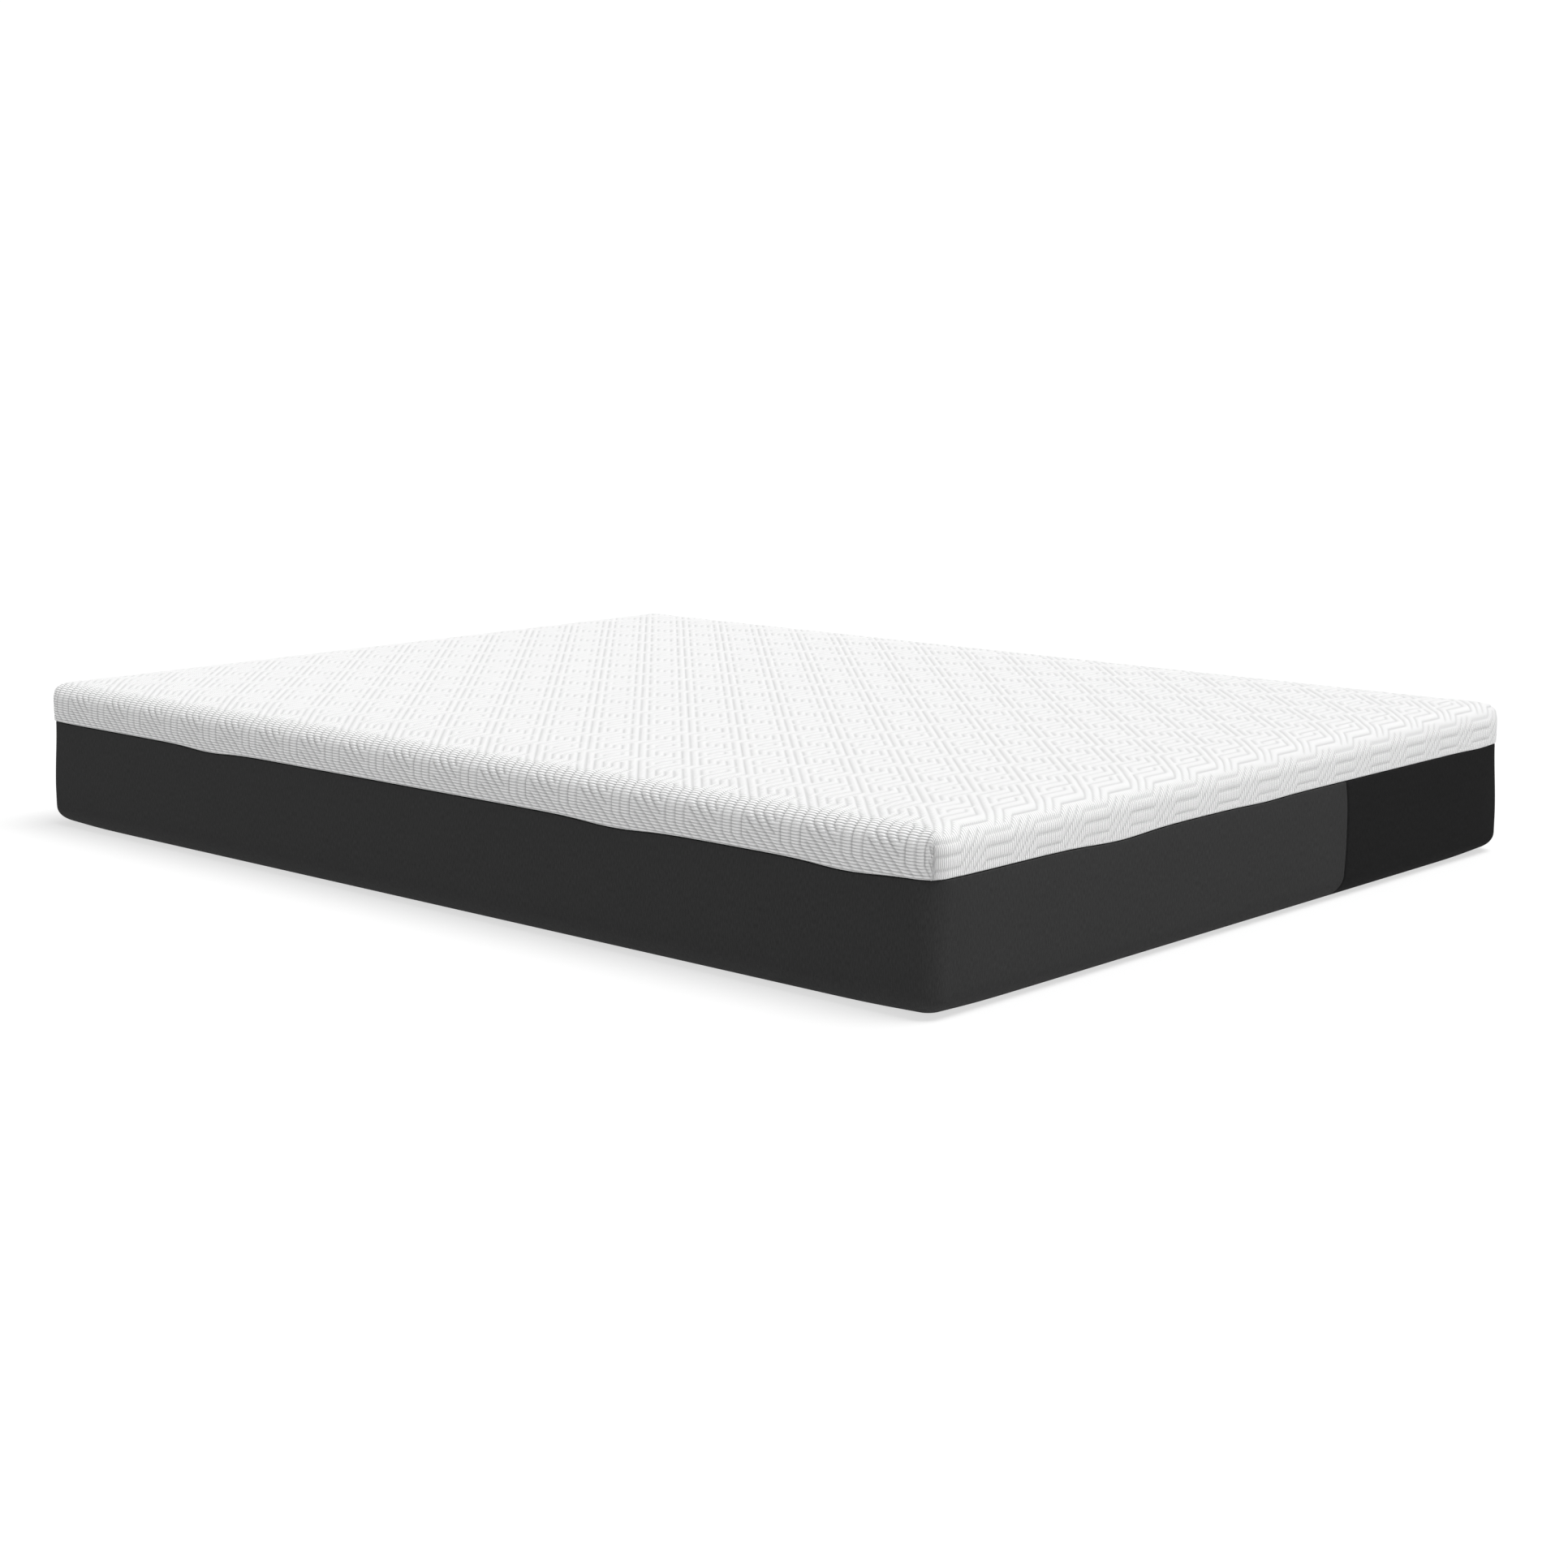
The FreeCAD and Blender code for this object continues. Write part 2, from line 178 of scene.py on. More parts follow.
def new_piece(name: str, points: np.ndarray, faces: np.ndarray, uv: np.ndarray | None = None,
              masks: dict[str, np.ndarray] | None = None, lap: float = 0.0) -> bpy.types.Object:
    """Makes a smooth-shaded mesh object from whole arrays.

    Args:
        name: the piece's name.
        points: vertex places, in metres.
        faces: four vertex numbers for each face.
        uv: fabric coordinates of each vertex, in metres.
        masks: values kept on the vertices, by attribute name.
        lap: length of one turn where the first fabric coordinate starts again at 0, or 0.

    Returns:
        The new object, at the origin.
    """
    mesh = bpy.data.meshes.new(name)
    used, compact = np.unique(faces, return_inverse=True)
    compact = compact.reshape(-1).astype(np.int32)
    mesh.vertices.add(len(used))
    mesh.vertices.foreach_set("co", points[used].astype(np.float32).ravel())
    mesh.loops.add(len(compact))
    mesh.loops.foreach_set("vertex_index", compact)
    mesh.polygons.add(len(faces))
    mesh.polygons.foreach_set("loop_start", np.arange(0, len(compact), 4, dtype=np.int32))
    mesh.update(calc_edges=True)
    if uv is not None:
        layer = mesh.uv_layers.new(name="Fabric")
        corners = uv[used][compact].reshape(-1, 4, 2)
        if lap > 0.0:
            torn = np.ptp(corners[..., 0], axis=1) > lap / 2
            corners[..., 0] += lap * (torn[:, None] & (corners[..., 0] < lap / 2))
        layer.data.foreach_set("uv", corners.astype(np.float32).ravel())
    for label, values in (masks or {}).items():
        attribute = mesh.attributes.new(label, "FLOAT", "POINT")
        attribute.data.foreach_set("value", values[used].astype(np.float32))
    mesh.shade_smooth()
    piece = bpy.data.objects.new(name, mesh)
    bpy.context.scene.collection.objects.link(piece)
    return piece


def tube_along(name: str, path: np.ndarray, normal: np.ndarray, radius: np.ndarray, sides: int,
               closed: bool) -> bpy.types.Object:
    """A tube round a path: each ring is a circle in the plane of the normal and the binormal.

    Args:
        name: the piece's name.
        path: points of the centreline.
        normal: a unit vector across the path at each point.
        radius: the tube's radius at each point.
        sides: faces round the tube.
        closed: whether the path comes back to its start.

    Returns:
        The tube, closed at its ends by drawing them in to a point.
    """
    ahead = np.roll(path, -1, axis=0) - np.roll(path, 1, axis=0)
    if not closed:
        ahead[0], ahead[-1] = path[1] - path[0], path[-1] - path[-2]
        path = np.concatenate([path[:1], path, path[-1:]])
        normal = np.concatenate([normal[:1], normal, normal[-1:]])
        radius = np.concatenate([[radius[0] * 0.02], radius, [radius[-1] * 0.02]])
        ahead = np.concatenate([ahead[:1], ahead, ahead[-1:]])
    side = normalised(np.cross(normalised(ahead), normal))
    angle = np.linspace(0.0, 2.0 * math.pi, sides, endpoint=False)
    cosine, sine = np.cos(angle)[None, :, None], np.sin(angle)[None, :, None]
    ring = cosine * normal[:, None, :] + sine * side[:, None, :]
    points = path[:, None, :] + ring * radius[:, None, None]
    ids = np.arange(len(path) * sides).reshape(len(path), sides)
    ids = np.concatenate([ids, ids[:, :1]], axis=1)
    if closed:
        ids = np.concatenate([ids, ids[:1]], axis=0)
    distance = np.concatenate([[0.0], np.cumsum(np.linalg.norm(np.diff(path, axis=0), axis=1))])
    uv = np.stack(np.broadcast_arrays(distance[:, None], angle[None, :] * 0.002), axis=-1)
    return new_piece(name, points.reshape(-1, 3), quads_of(ids), uv.reshape(-1, 2))


# ---------------------------------------------------------------- materials


@dataclass
class NodeSheet:
    """A node tree with short calls for adding and linking nodes."""

    tree: bpy.types.NodeTree

    def add(self, kind: str, settings: dict | None = None, **inputs: object) -> bpy.types.Node:
        """Adds a node.

        Args:
            kind: the node's type name.
            settings: properties of the node.
            inputs: values or sockets for its inputs, named with _ for a space.

        Returns:
            The new node.
        """
        node = self.tree.nodes.new(kind)
        for key, value in (settings or {}).items():
            setattr(node, key, value)
        for key, value in inputs.items():
            self.put(node.inputs[key.replace("_", " ")], value)
        return node

    def put(self, socket: bpy.types.NodeSocket, value: object) -> None:
        """Links a socket to value if it is a socket, or sets it to value."""
        if isinstance(value, bpy.types.NodeSocket):
            self.tree.links.new(value, socket)
        else:
            socket.default_value = value

    def math(self, operation: str, first: object, second: object = 0.0) -> bpy.types.NodeSocket:
        """The result of a Math node on two values or sockets."""
        node = self.tree.nodes.new("ShaderNodeMath")
        node.operation = operation
        self.put(node.inputs[0], first)
        self.put(node.inputs[1], second)
        return node.outputs[0]

    def mix(self, factor: object, first: object, second: object) -> bpy.types.NodeSocket:
        """A colour that goes from first to second as factor goes from 0 to 1."""
        node = self.tree.nodes.new("ShaderNodeMix")
        node.data_type = "RGBA"
        self.put(node.inputs["Factor"], factor)
        self.put(node.inputs[6], first)
        self.put(node.inputs[7], second)
        return node.outputs[2]


def start_group(name: str, inputs: dict[str, tuple[str, object]], outputs: dict[str, str]
                ) -> tuple[bpy.types.NodeTree, NodeSheet, bpy.types.Node, bpy.types.Node]:
    """Makes an empty shader node group with named sockets.

    Args:
        name: the group's name.
        inputs: each input's socket kind and first value.
        outputs: each output's socket kind.

    Returns:
        The tree, a sheet to write on, and its input and output nodes.
    """
    tree = bpy.data.node_groups.new(name, "ShaderNodeTree")
    for label, (kind, value) in inputs.items():
        socket = tree.interface.new_socket(name=label, in_out="INPUT", socket_type="NodeSocket" + kind)
        if value is not None:
            socket.default_value = value
    for label, kind in outputs.items():
        tree.interface.new_socket(name=label, in_out="OUTPUT", socket_type="NodeSocket" + kind)
    sheet = NodeSheet(tree)
    return tree, sheet, sheet.add("NodeGroupInput"), sheet.add("NodeGroupOutput")


class FabricGroups:
    """Effects that several finishes share, each built once as a node group."""

    def __init__(self) -> None:
        """Builds the groups."""
        self.knit = self._knit()
        self.mottle = self._mottle()
        self.foam = self._foam()

    @staticmethod
    def _knit() -> bpy.types.NodeTree:
        """Knitted loops: rounded ribs with narrow valleys, each rib beaded along its length, with noise.

        Returns:
            A group that puts out Height, and Shade, which marks the valleys for painted shade.
        """
        tree, sheet, source, result = start_group(
            "knit_loops",
            {"Vector": ("Vector", None), "Wale Pitch": ("Float", 0.004), "Course Pitch": ("Float", 0.002),
             "Wander": ("Float", 0.0006), "Course Share": ("Float", 0.35)},
            {"Height": "Float", "Shade": "Float"})
        wander = sheet.add("ShaderNodeTexNoise", Vector=source.outputs["Vector"], Scale=45.0, Detail=3.0)
        swing = sheet.math("SUBTRACT", wander.outputs["Fac"], 0.5)
        offset = sheet.math("MULTIPLY", swing, source.outputs["Wander"])
        split = sheet.add("ShaderNodeSeparateXYZ", Vector=source.outputs["Vector"])
        across = sheet.math("ADD", split.outputs["X"], offset)
        wave = []
        for place, pitch in ((across, "Wale Pitch"), (split.outputs["Y"], "Course Pitch")):
            turns = sheet.math("DIVIDE", place, source.outputs[pitch])
            wave.append(sheet.math("ABSOLUTE", sheet.math("SINE", sheet.math("MULTIPLY", turns, math.pi))))
        rib = sheet.math("POWER", wave[0], 0.7)
        loop = sheet.math("MULTIPLY", wave[1], source.outputs["Course Share"])
        height = sheet.math("ADD", rib, sheet.math("MULTIPLY", loop, rib))
        speck = sheet.add("ShaderNodeTexNoise", Vector=source.outputs["Vector"], Scale=900.0, Detail=2.0)
        height = sheet.math("ADD", height, sheet.math("MULTIPLY", speck.outputs["Fac"], 0.35))
        sheet.put(result.inputs["Height"], height)
        # Shade is 1 in the valleys between ribs; the finishes use it for painted shade and roughness.
        sheet.put(result.inputs["Shade"], sheet.math("SUBTRACT", 1.0, rib))
        return tree

    @staticmethod
    def _mottle() -> bpy.types.NodeTree:
        """Uneven dye and lint: two noises, one drawn out along the yarn, mixed over a base colour.

        Returns:
            A group that puts out Color.
        """
        tree, sheet, source, result = start_group(
            "dye_mottle",
            {"Vector": ("Vector", None), "Color": ("Color", (0.5, 0.5, 0.5, 1.0)),
             "Amount": ("Float", 0.15), "Stretch": ("Vector", (700.0, 60.0, 60.0))},
            {"Color": "Color"})
        drawn = sheet.add("ShaderNodeVectorMath", {"operation": "MULTIPLY"})
        sheet.put(drawn.inputs[0], source.outputs["Vector"])
        sheet.put(drawn.inputs[1], source.outputs["Stretch"])
        streak = sheet.add("ShaderNodeTexNoise", Vector=drawn.outputs[0], Scale=1.0, Detail=3.0)
        cloud = sheet.add("ShaderNodeTexNoise", Vector=source.outputs["Vector"], Scale=9.0, Detail=4.0)
        both = sheet.math("ADD", sheet.math("MULTIPLY", streak.outputs["Fac"], 1.84),
                          sheet.math("MULTIPLY", cloud.outputs["Fac"], 0.16))
        swing = sheet.math("MULTIPLY", sheet.math("SUBTRACT", both, 1.0), source.outputs["Amount"])
        gain = sheet.math("ADD", swing, 1.0)
        scaled = sheet.add("ShaderNodeVectorMath", {"operation": "SCALE"})
        sheet.put(scaled.inputs[0], source.outputs["Color"])
        sheet.put(scaled.inputs["Scale"], gain)
        sheet.put(result.inputs["Color"], scaled.outputs[0])
        return tree

    @staticmethod
    def _foam() -> bpy.types.NodeTree:
        """Open foam cells: two sizes of Voronoi cells, the larger ones sparse.

        Returns:
            A group that puts out Height and Pits.
        """
        tree, sheet, source, result = start_group(
            "foam_cells", {"Vector": ("Vector", None), "Cell Scale": ("Float", 700.0)},
            {"Height": "Float", "Pits": "Float"})
        place, scale = source.outputs["Vector"], source.outputs["Cell Scale"]
        small = sheet.add("ShaderNodeTexVoronoi", Vector=place, Scale=scale)
        large = sheet.add("ShaderNodeTexVoronoi", Vector=place, Scale=sheet.math("MULTIPLY", scale, 0.23))
        pit = sheet.math("LESS_THAN", large.outputs["Distance"], 0.16)
        sheet.put(result.inputs["Height"], sheet.math("SUBTRACT", small.outputs["Distance"], pit))
        sheet.put(result.inputs["Pits"], pit)
        return tree


def start_material(name: str) -> tuple[bpy.types.Material, NodeSheet, bpy.types.Node]:
    """A new node material, a sheet to write on and its Principled shader."""
    material = bpy.data.materials.new(name)
    material.use_nodes = True
    return material, NodeSheet(material.node_tree), material.node_tree.nodes["Principled BSDF"]


def place_group(sheet: NodeSheet, tree: bpy.types.NodeTree, **inputs: object) -> bpy.types.Node:
    """Places a node group on a sheet, with values or sockets for its inputs."""
    node = sheet.tree.nodes.new("ShaderNodeGroup")
    node.node_tree = tree
    for key, value in inputs.items():
        sheet.put(node.inputs[key.replace("_", " ")], value)
    return node


@dataclass(frozen=True)
class KnitFinish:
    """A knitted or woven cloth, patterned on the piece's own Fabric UV or on its place."""

    name: str
    tone: Tone
    wale_pitch: float
    course_pitch: float
    relief: float
    mottle: float = 0.12
    roughness: float = 0.92
    specular: float = 0.06
    # Painted shade in the quilting channels, as a share of the colour.
    painted_groove_shade: float = 0.0
    # Painted shade in the valleys between ribs, as a share of the colour.
    painted_valley_shade: float = 0.1
    course_share: float = 0.35
    wander: float = 0.0008
    streaks: tuple[float, float, float] = (700.0, 60.0, 60.0)
    on_fabric: bool = True

    def make(self, groups: FabricGroups) -> bpy.types.Material:
        """Builds the material.

        Args:
            groups: the shared effects.

        Returns:
            The finished material.
        """
        material, sheet, shader = start_material(self.name)
        if self.on_fabric:
            place = sheet.add("ShaderNodeUVMap", {"uv_map": "Fabric"}).outputs["UV"]
        else:
            place = sheet.add("ShaderNodeTexCoord").outputs["Object"]
        dyed = place_group(sheet, groups.mottle, Vector=place, Color=(*self.tone.value, 1.0),
                           Amount=self.mottle, Stretch=self.streaks)
        knit = place_group(sheet, groups.knit, Vector=place, Wale_Pitch=self.wale_pitch, Wander=self.wander,
                           Course_Pitch=self.course_pitch, Course_Share=self.course_share)
        colour = dyed.outputs["Color"]
        # Painted shade: the colour is darkened where the groove mask marks the quilting channels.
        if self.painted_groove_shade > 0.0:
            groove = sheet.add("ShaderNodeAttribute", {"attribute_name": "groove"}).outputs["Fac"]
            dark = tuple(v * (1.0 - self.painted_groove_shade) for v in self.tone.value)
            colour = sheet.mix(groove, colour, (*dark, 1.0))
        # Painted shade: the colour is darkened in the valleys between the knit ribs.
        dark = tuple(v * (1.0 - self.painted_valley_shade) for v in self.tone.value)
        colour = sheet.mix(knit.outputs["Shade"], colour, (*dark, 1.0))
        dull = sheet.math("MULTIPLY", knit.outputs["Shade"], 0.08)
        rough = sheet.math("ADD", dull, self.roughness - 0.04)
        bump = sheet.add("ShaderNodeBump", Height=knit.outputs["Height"], Distance=self.relief)
        sheet.put(shader.inputs["Base Color"], colour)
        sheet.put(shader.inputs["Roughness"], rough)
        sheet.put(shader.inputs["Normal"], bump.outputs["Normal"])
        shader.inputs["Specular IOR Level"].default_value = self.specular
        return material


@dataclass(frozen=True)
class FoamFinish:
    """Open-cell foam or fleece, patterned on its place."""

    name: str
    tone: Tone
    cell_scale: float
    relief: float
    # Painted shade in the foam pits, as a share of the colour.
    painted_pit_shade: float = 0.25
    specular: float = 0.15

    def make(self, groups: FabricGroups) -> bpy.types.Material:
        """Builds the material.

        Args:
            groups: the shared effects.

        Returns:
            The finished material.
        """
        material, sheet, shader = start_material(self.name)
        place = sheet.add("ShaderNodeTexCoord").outputs["Object"]
        cells = place_group(sheet, groups.foam, Vector=place, Cell_Scale=self.cell_scale)
        dyed = place_group(sheet, groups.mottle, Vector=place, Color=(*self.tone.value, 1.0), Amount=0.1,
                           Stretch=(90.0, 90.0, 90.0))
        # Painted shade: the colour is darkened in the larger foam pits.
        dark = tuple(v * (1.0 - self.painted_pit_shade) for v in self.tone.value)
        colour = sheet.mix(cells.outputs["Pits"], dyed.outputs["Color"], (*dark, 1.0))
        bump = sheet.add("ShaderNodeBump", Height=cells.outputs["Height"], Distance=self.relief,
                         Strength=0.8)
        rough = sheet.math("ADD", sheet.math("MULTIPLY", cells.outputs["Pits"], 0.06), 0.9)
        sheet.put(shader.inputs["Base Color"], colour)
        sheet.put(shader.inputs["Roughness"], rough)
        sheet.put(shader.inputs["Normal"], bump.outputs["Normal"])
        shader.inputs["Specular IOR Level"].default_value = self.specular
        return material


@dataclass(frozen=True)
class HardFinish:
    """Painted metal or nylon, with fine grain and rubbed spots on its place."""

    name: str
    tone: Tone
    roughness: float
    metallic: float
    grain: float = 0.00003

    def make(self, groups: FabricGroups) -> bpy.types.Material:
        """Builds the material.

        Args:
            groups: the shared effects.

        Returns:
            The finished material.
        """
        material, sheet, shader = start_material(self.name)
        place = sheet.add("ShaderNodeTexCoord").outputs["Object"]
        dyed = place_group(sheet, groups.mottle, Vector=place, Color=(*self.tone.value, 1.0), Amount=0.3,
                           Stretch=(300.0, 300.0, 300.0))
        worn = sheet.add("ShaderNodeTexNoise", Vector=place, Scale=260.0, Detail=5.0)
        rough = sheet.math("ADD", sheet.math("MULTIPLY", worn.outputs["Fac"], 0.25), self.roughness - 0.12)
        grain = sheet.add("ShaderNodeTexNoise", Vector=place, Scale=4000.0, Detail=2.0)
        bump = sheet.add("ShaderNodeBump", Height=grain.outputs["Fac"], Distance=self.grain, Strength=0.5)
        sheet.put(shader.inputs["Base Color"], dyed.outputs["Color"])
        sheet.put(shader.inputs["Roughness"], rough)
        sheet.put(shader.inputs["Normal"], bump.outputs["Normal"])
        shader.inputs["Metallic"].default_value = self.metallic
        return material


class Wardrobe:
    """Every finish of the mattress, each made once."""

    def __init__(self) -> None:
        """Makes the materials."""
        groups = FabricGroups()
        finishes = [
            KnitFinish("quilt_knit", Tone.QUILT_WHITE, 4.3 * MM, 2.1 * MM, 1.3 * MM, mottle=0.03,
                       painted_groove_shade=0.36, painted_valley_shade=0.24),
            KnitFinish("gray_knit", Tone.CHARCOAL, 1.3 * MM, 0.9 * MM, 0.2 * MM, mottle=0.55,
                       streaks=(560.0, 120.0, 90.0)),
            KnitFinish("black_knit", Tone.BLACK, 1.3 * MM, 0.9 * MM, 0.2 * MM, mottle=0.8,
                       streaks=(560.0, 120.0, 90.0)),
            KnitFinish("white_seam", Tone.THREAD_WHITE, 1.6 * MM, 0.8 * MM, 0.25 * MM),
            KnitFinish("dark_seam", Tone.SEAM_DARK, 1.6 * MM, 0.8 * MM, 0.25 * MM),
            KnitFinish("base_cloth", Tone.BASE_GRAY, 1.8 * MM, 1.8 * MM, 0.15 * MM, mottle=0.25,
                       course_share=1.0),
            KnitFinish("label_cloth", Tone.LABEL, 0.7 * MM, 0.7 * MM, 0.06 * MM, mottle=0.04,
                       course_share=1.0),
            KnitFinish("sock_knit", Tone.SOCK, 2.4 * MM, 2.0 * MM, 0.4 * MM, on_fabric=False),
            KnitFinish("backing", Tone.FLEECE, 1.1 * MM, 1.1 * MM, 0.1 * MM, course_share=1.0,
                       on_fabric=False),
            KnitFinish("zip_tape", Tone.ZIP_BLACK, 0.9 * MM, 0.9 * MM, 0.12 * MM, course_share=1.0,
                       on_fabric=False),
            FoamFinish("wadding", Tone.FLEECE, 240.0, 0.5 * MM, painted_pit_shade=0.05),
            FoamFinish("padding", Tone.PADDING, 1100.0, 0.2 * MM),
            FoamFinish("memory_foam", Tone.CREAM_FOAM, 1300.0, 0.15 * MM),
            FoamFinish("transition_foam", Tone.BLUE_FOAM, 900.0, 0.25 * MM),
            FoamFinish("support_foam", Tone.IVORY_FOAM, 650.0, 0.35 * MM),
            HardFinish("zip_coil", Tone.ZIP_BLACK, 0.38, 0.0),
            HardFinish("zip_metal", Tone.PAINTED, 0.32, 0.6),
        ]
        self.materials = {finish.name: finish.make(groups) for finish in finishes}

    def dress(self, piece: bpy.types.Object, slot: str) -> None:
        piece.data.materials.clear()
        piece.data.materials.append(self.materials[slot])


# ---------------------------------------------------------------- the shape of the cover


@dataclass(frozen=True)
class Dip:
    """A place where the cap's seam sags: its place in plan, its depth and its reach."""

    x: float
    y: float
    depth: float
    reach: float


@dataclass
class CoverShape:
    """The outer form that the cap, border and seams share."""

    half_width: float = field(default_factory=lambda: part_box("border_gray")[1].x)
    half_length: float = field(default_factory=lambda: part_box("border_gray")[1].y)
    height: float = field(default_factory=lambda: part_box("quilt_knit_face")[1].z)
    seam_level: float = field(default_factory=lambda: sum(c.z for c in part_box("cap_border_seam")) / 2)
    hem: float = 2.4 * MM
    base_round: float = 33 * MM
    corner_low: float = 27 * MM
    corner_high: float = 42 * MM
    corner_under: float = 12 * MM
    corner_zone: float = 75 * MM
    bulge: float = 3.2 * MM
    crown: float = 4.5 * MM
    peak: float = 1.5 * MM
    peak_reach: float = 50 * MM

    @property
    def dips(self) -> tuple[Dip, ...]:
        """Where the seam sags, on all four sides."""
        w, l = self.half_width, self.half_length
        return (
            Dip(-w, -0.866, 5.0 * MM, 0.07), Dip(-w, -0.429, 5.0 * MM, 0.08),
            Dip(-w, 0.535, 4.5 * MM, 0.07), Dip(-0.352, -l, 5.0 * MM, 0.085),
            Dip(0.02, -l, 1.8 * MM, 0.06), Dip(0.678, -l, 1.5 * MM, 0.05),
            Dip(w, -0.35, 4.5 * MM, 0.08), Dip(w, 0.52, 4.0 * MM, 0.07),
            Dip(0.33, l, 4.0 * MM, 0.08), Dip(-0.46, l, 4.5 * MM, 0.07),
        )

    def seam_height(self, x: np.ndarray, y: np.ndarray) -> np.ndarray:
        """The seam's height: its level, less a bell curve for each dip, plus a peak at each corner.

        Args:
            x: places across.
            y: places along.

        Returns:
            The height at each place.
        """
        level = np.full(np.broadcast(x, y).shape, self.seam_level)
        for dip in self.dips:
            away = ((x - dip.x) ** 2 + (y - dip.y) ** 2) / dip.reach ** 2
            level = level - dip.depth * np.exp(-away)
        beyond = (np.abs(x) - self.half_width) ** 2 + (np.abs(y) - self.half_length) ** 2
        return level + self.peak * np.exp(-(beyond / self.peak_reach ** 2))

    def outline(self, along: np.ndarray, inset: np.ndarray, radius: np.ndarray
                ) -> tuple[np.ndarray, np.ndarray, np.ndarray, np.ndarray]:
        """A rounded rectangle: straight sides, and near a corner a straight, an arc and a straight.

        Args:
            along: places on the sharp-cornered outline, from the foot end's -X corner.
            inset: how far the outline is drawn in.
            radius: its corner radius.

        Returns:
            Places x and y, and the outward direction's x and y.
        """
        along, inset, radius = np.broadcast_arrays(along, inset, radius)
        w, l, zone = self.half_width, self.half_length, self.corner_zone
        lengths = np.array([2 * w, 2 * l, 2 * w, 2 * l])
        starts = np.concatenate([[0.0], np.cumsum(lengths)])
        side = np.clip(np.searchsorted(starts, along, side="right") - 1, 0, 3)
        local = along - starts[side]
        length = lengths[side]
        heading = np.array([[1, 0], [0, 1], [-1, 0], [0, -1]], float)
        corners = np.array([[w, -l], [w, l], [-w, l], [-w, -l]])
        at_end = local > length - zone
        at_start = local < zone
        corner = np.where(at_start, (side + 3) % 4, side)
        first, second = heading[corner], heading[(corner + 1) % 4]
        turn = np.where(at_start, 0.5 + local / (2 * zone), (local - (length - zone)) / (2 * zone))
        reach = zone - inset
        run = reach - radius
        travel = turn * (2 * run + 0.5 * math.pi * radius)
        angle = np.clip((travel - run) / np.maximum(radius, 1e-9), 0.0, 0.5 * math.pi)
        before = np.minimum(travel, run)
        after = np.maximum(travel - run - 0.5 * math.pi * radius, 0.0)
        forward = before + radius * np.sin(angle) - reach
        sideways = radius * (1.0 - np.cos(angle)) + after
        sharp = corners[corner] - inset[..., None] * (first - second)
        bent = sharp + first * forward[..., None] + second * sideways[..., None]
        bent_out = first * np.sin(angle)[..., None] - second * np.cos(angle)[..., None]
        ahead = heading[side]
        out = np.stack([ahead[..., 1], -ahead[..., 0]], axis=-1)
        origin = corners[(side + 3) % 4]
        plain = origin + ahead * local[..., None] - out * inset[..., None]
        near = (at_end | at_start)[..., None]
        place = np.where(near, bent, plain)
        facing = np.where(near, bent_out, out)
        return place[..., 0], place[..., 1], facing[..., 0], facing[..., 1]

    @property
    def perimeter(self) -> float:
        """Length of the sharp-cornered outline."""
        return 4 * (self.half_width + self.half_length)


# ---------------------------------------------------------------- cloth under pressure


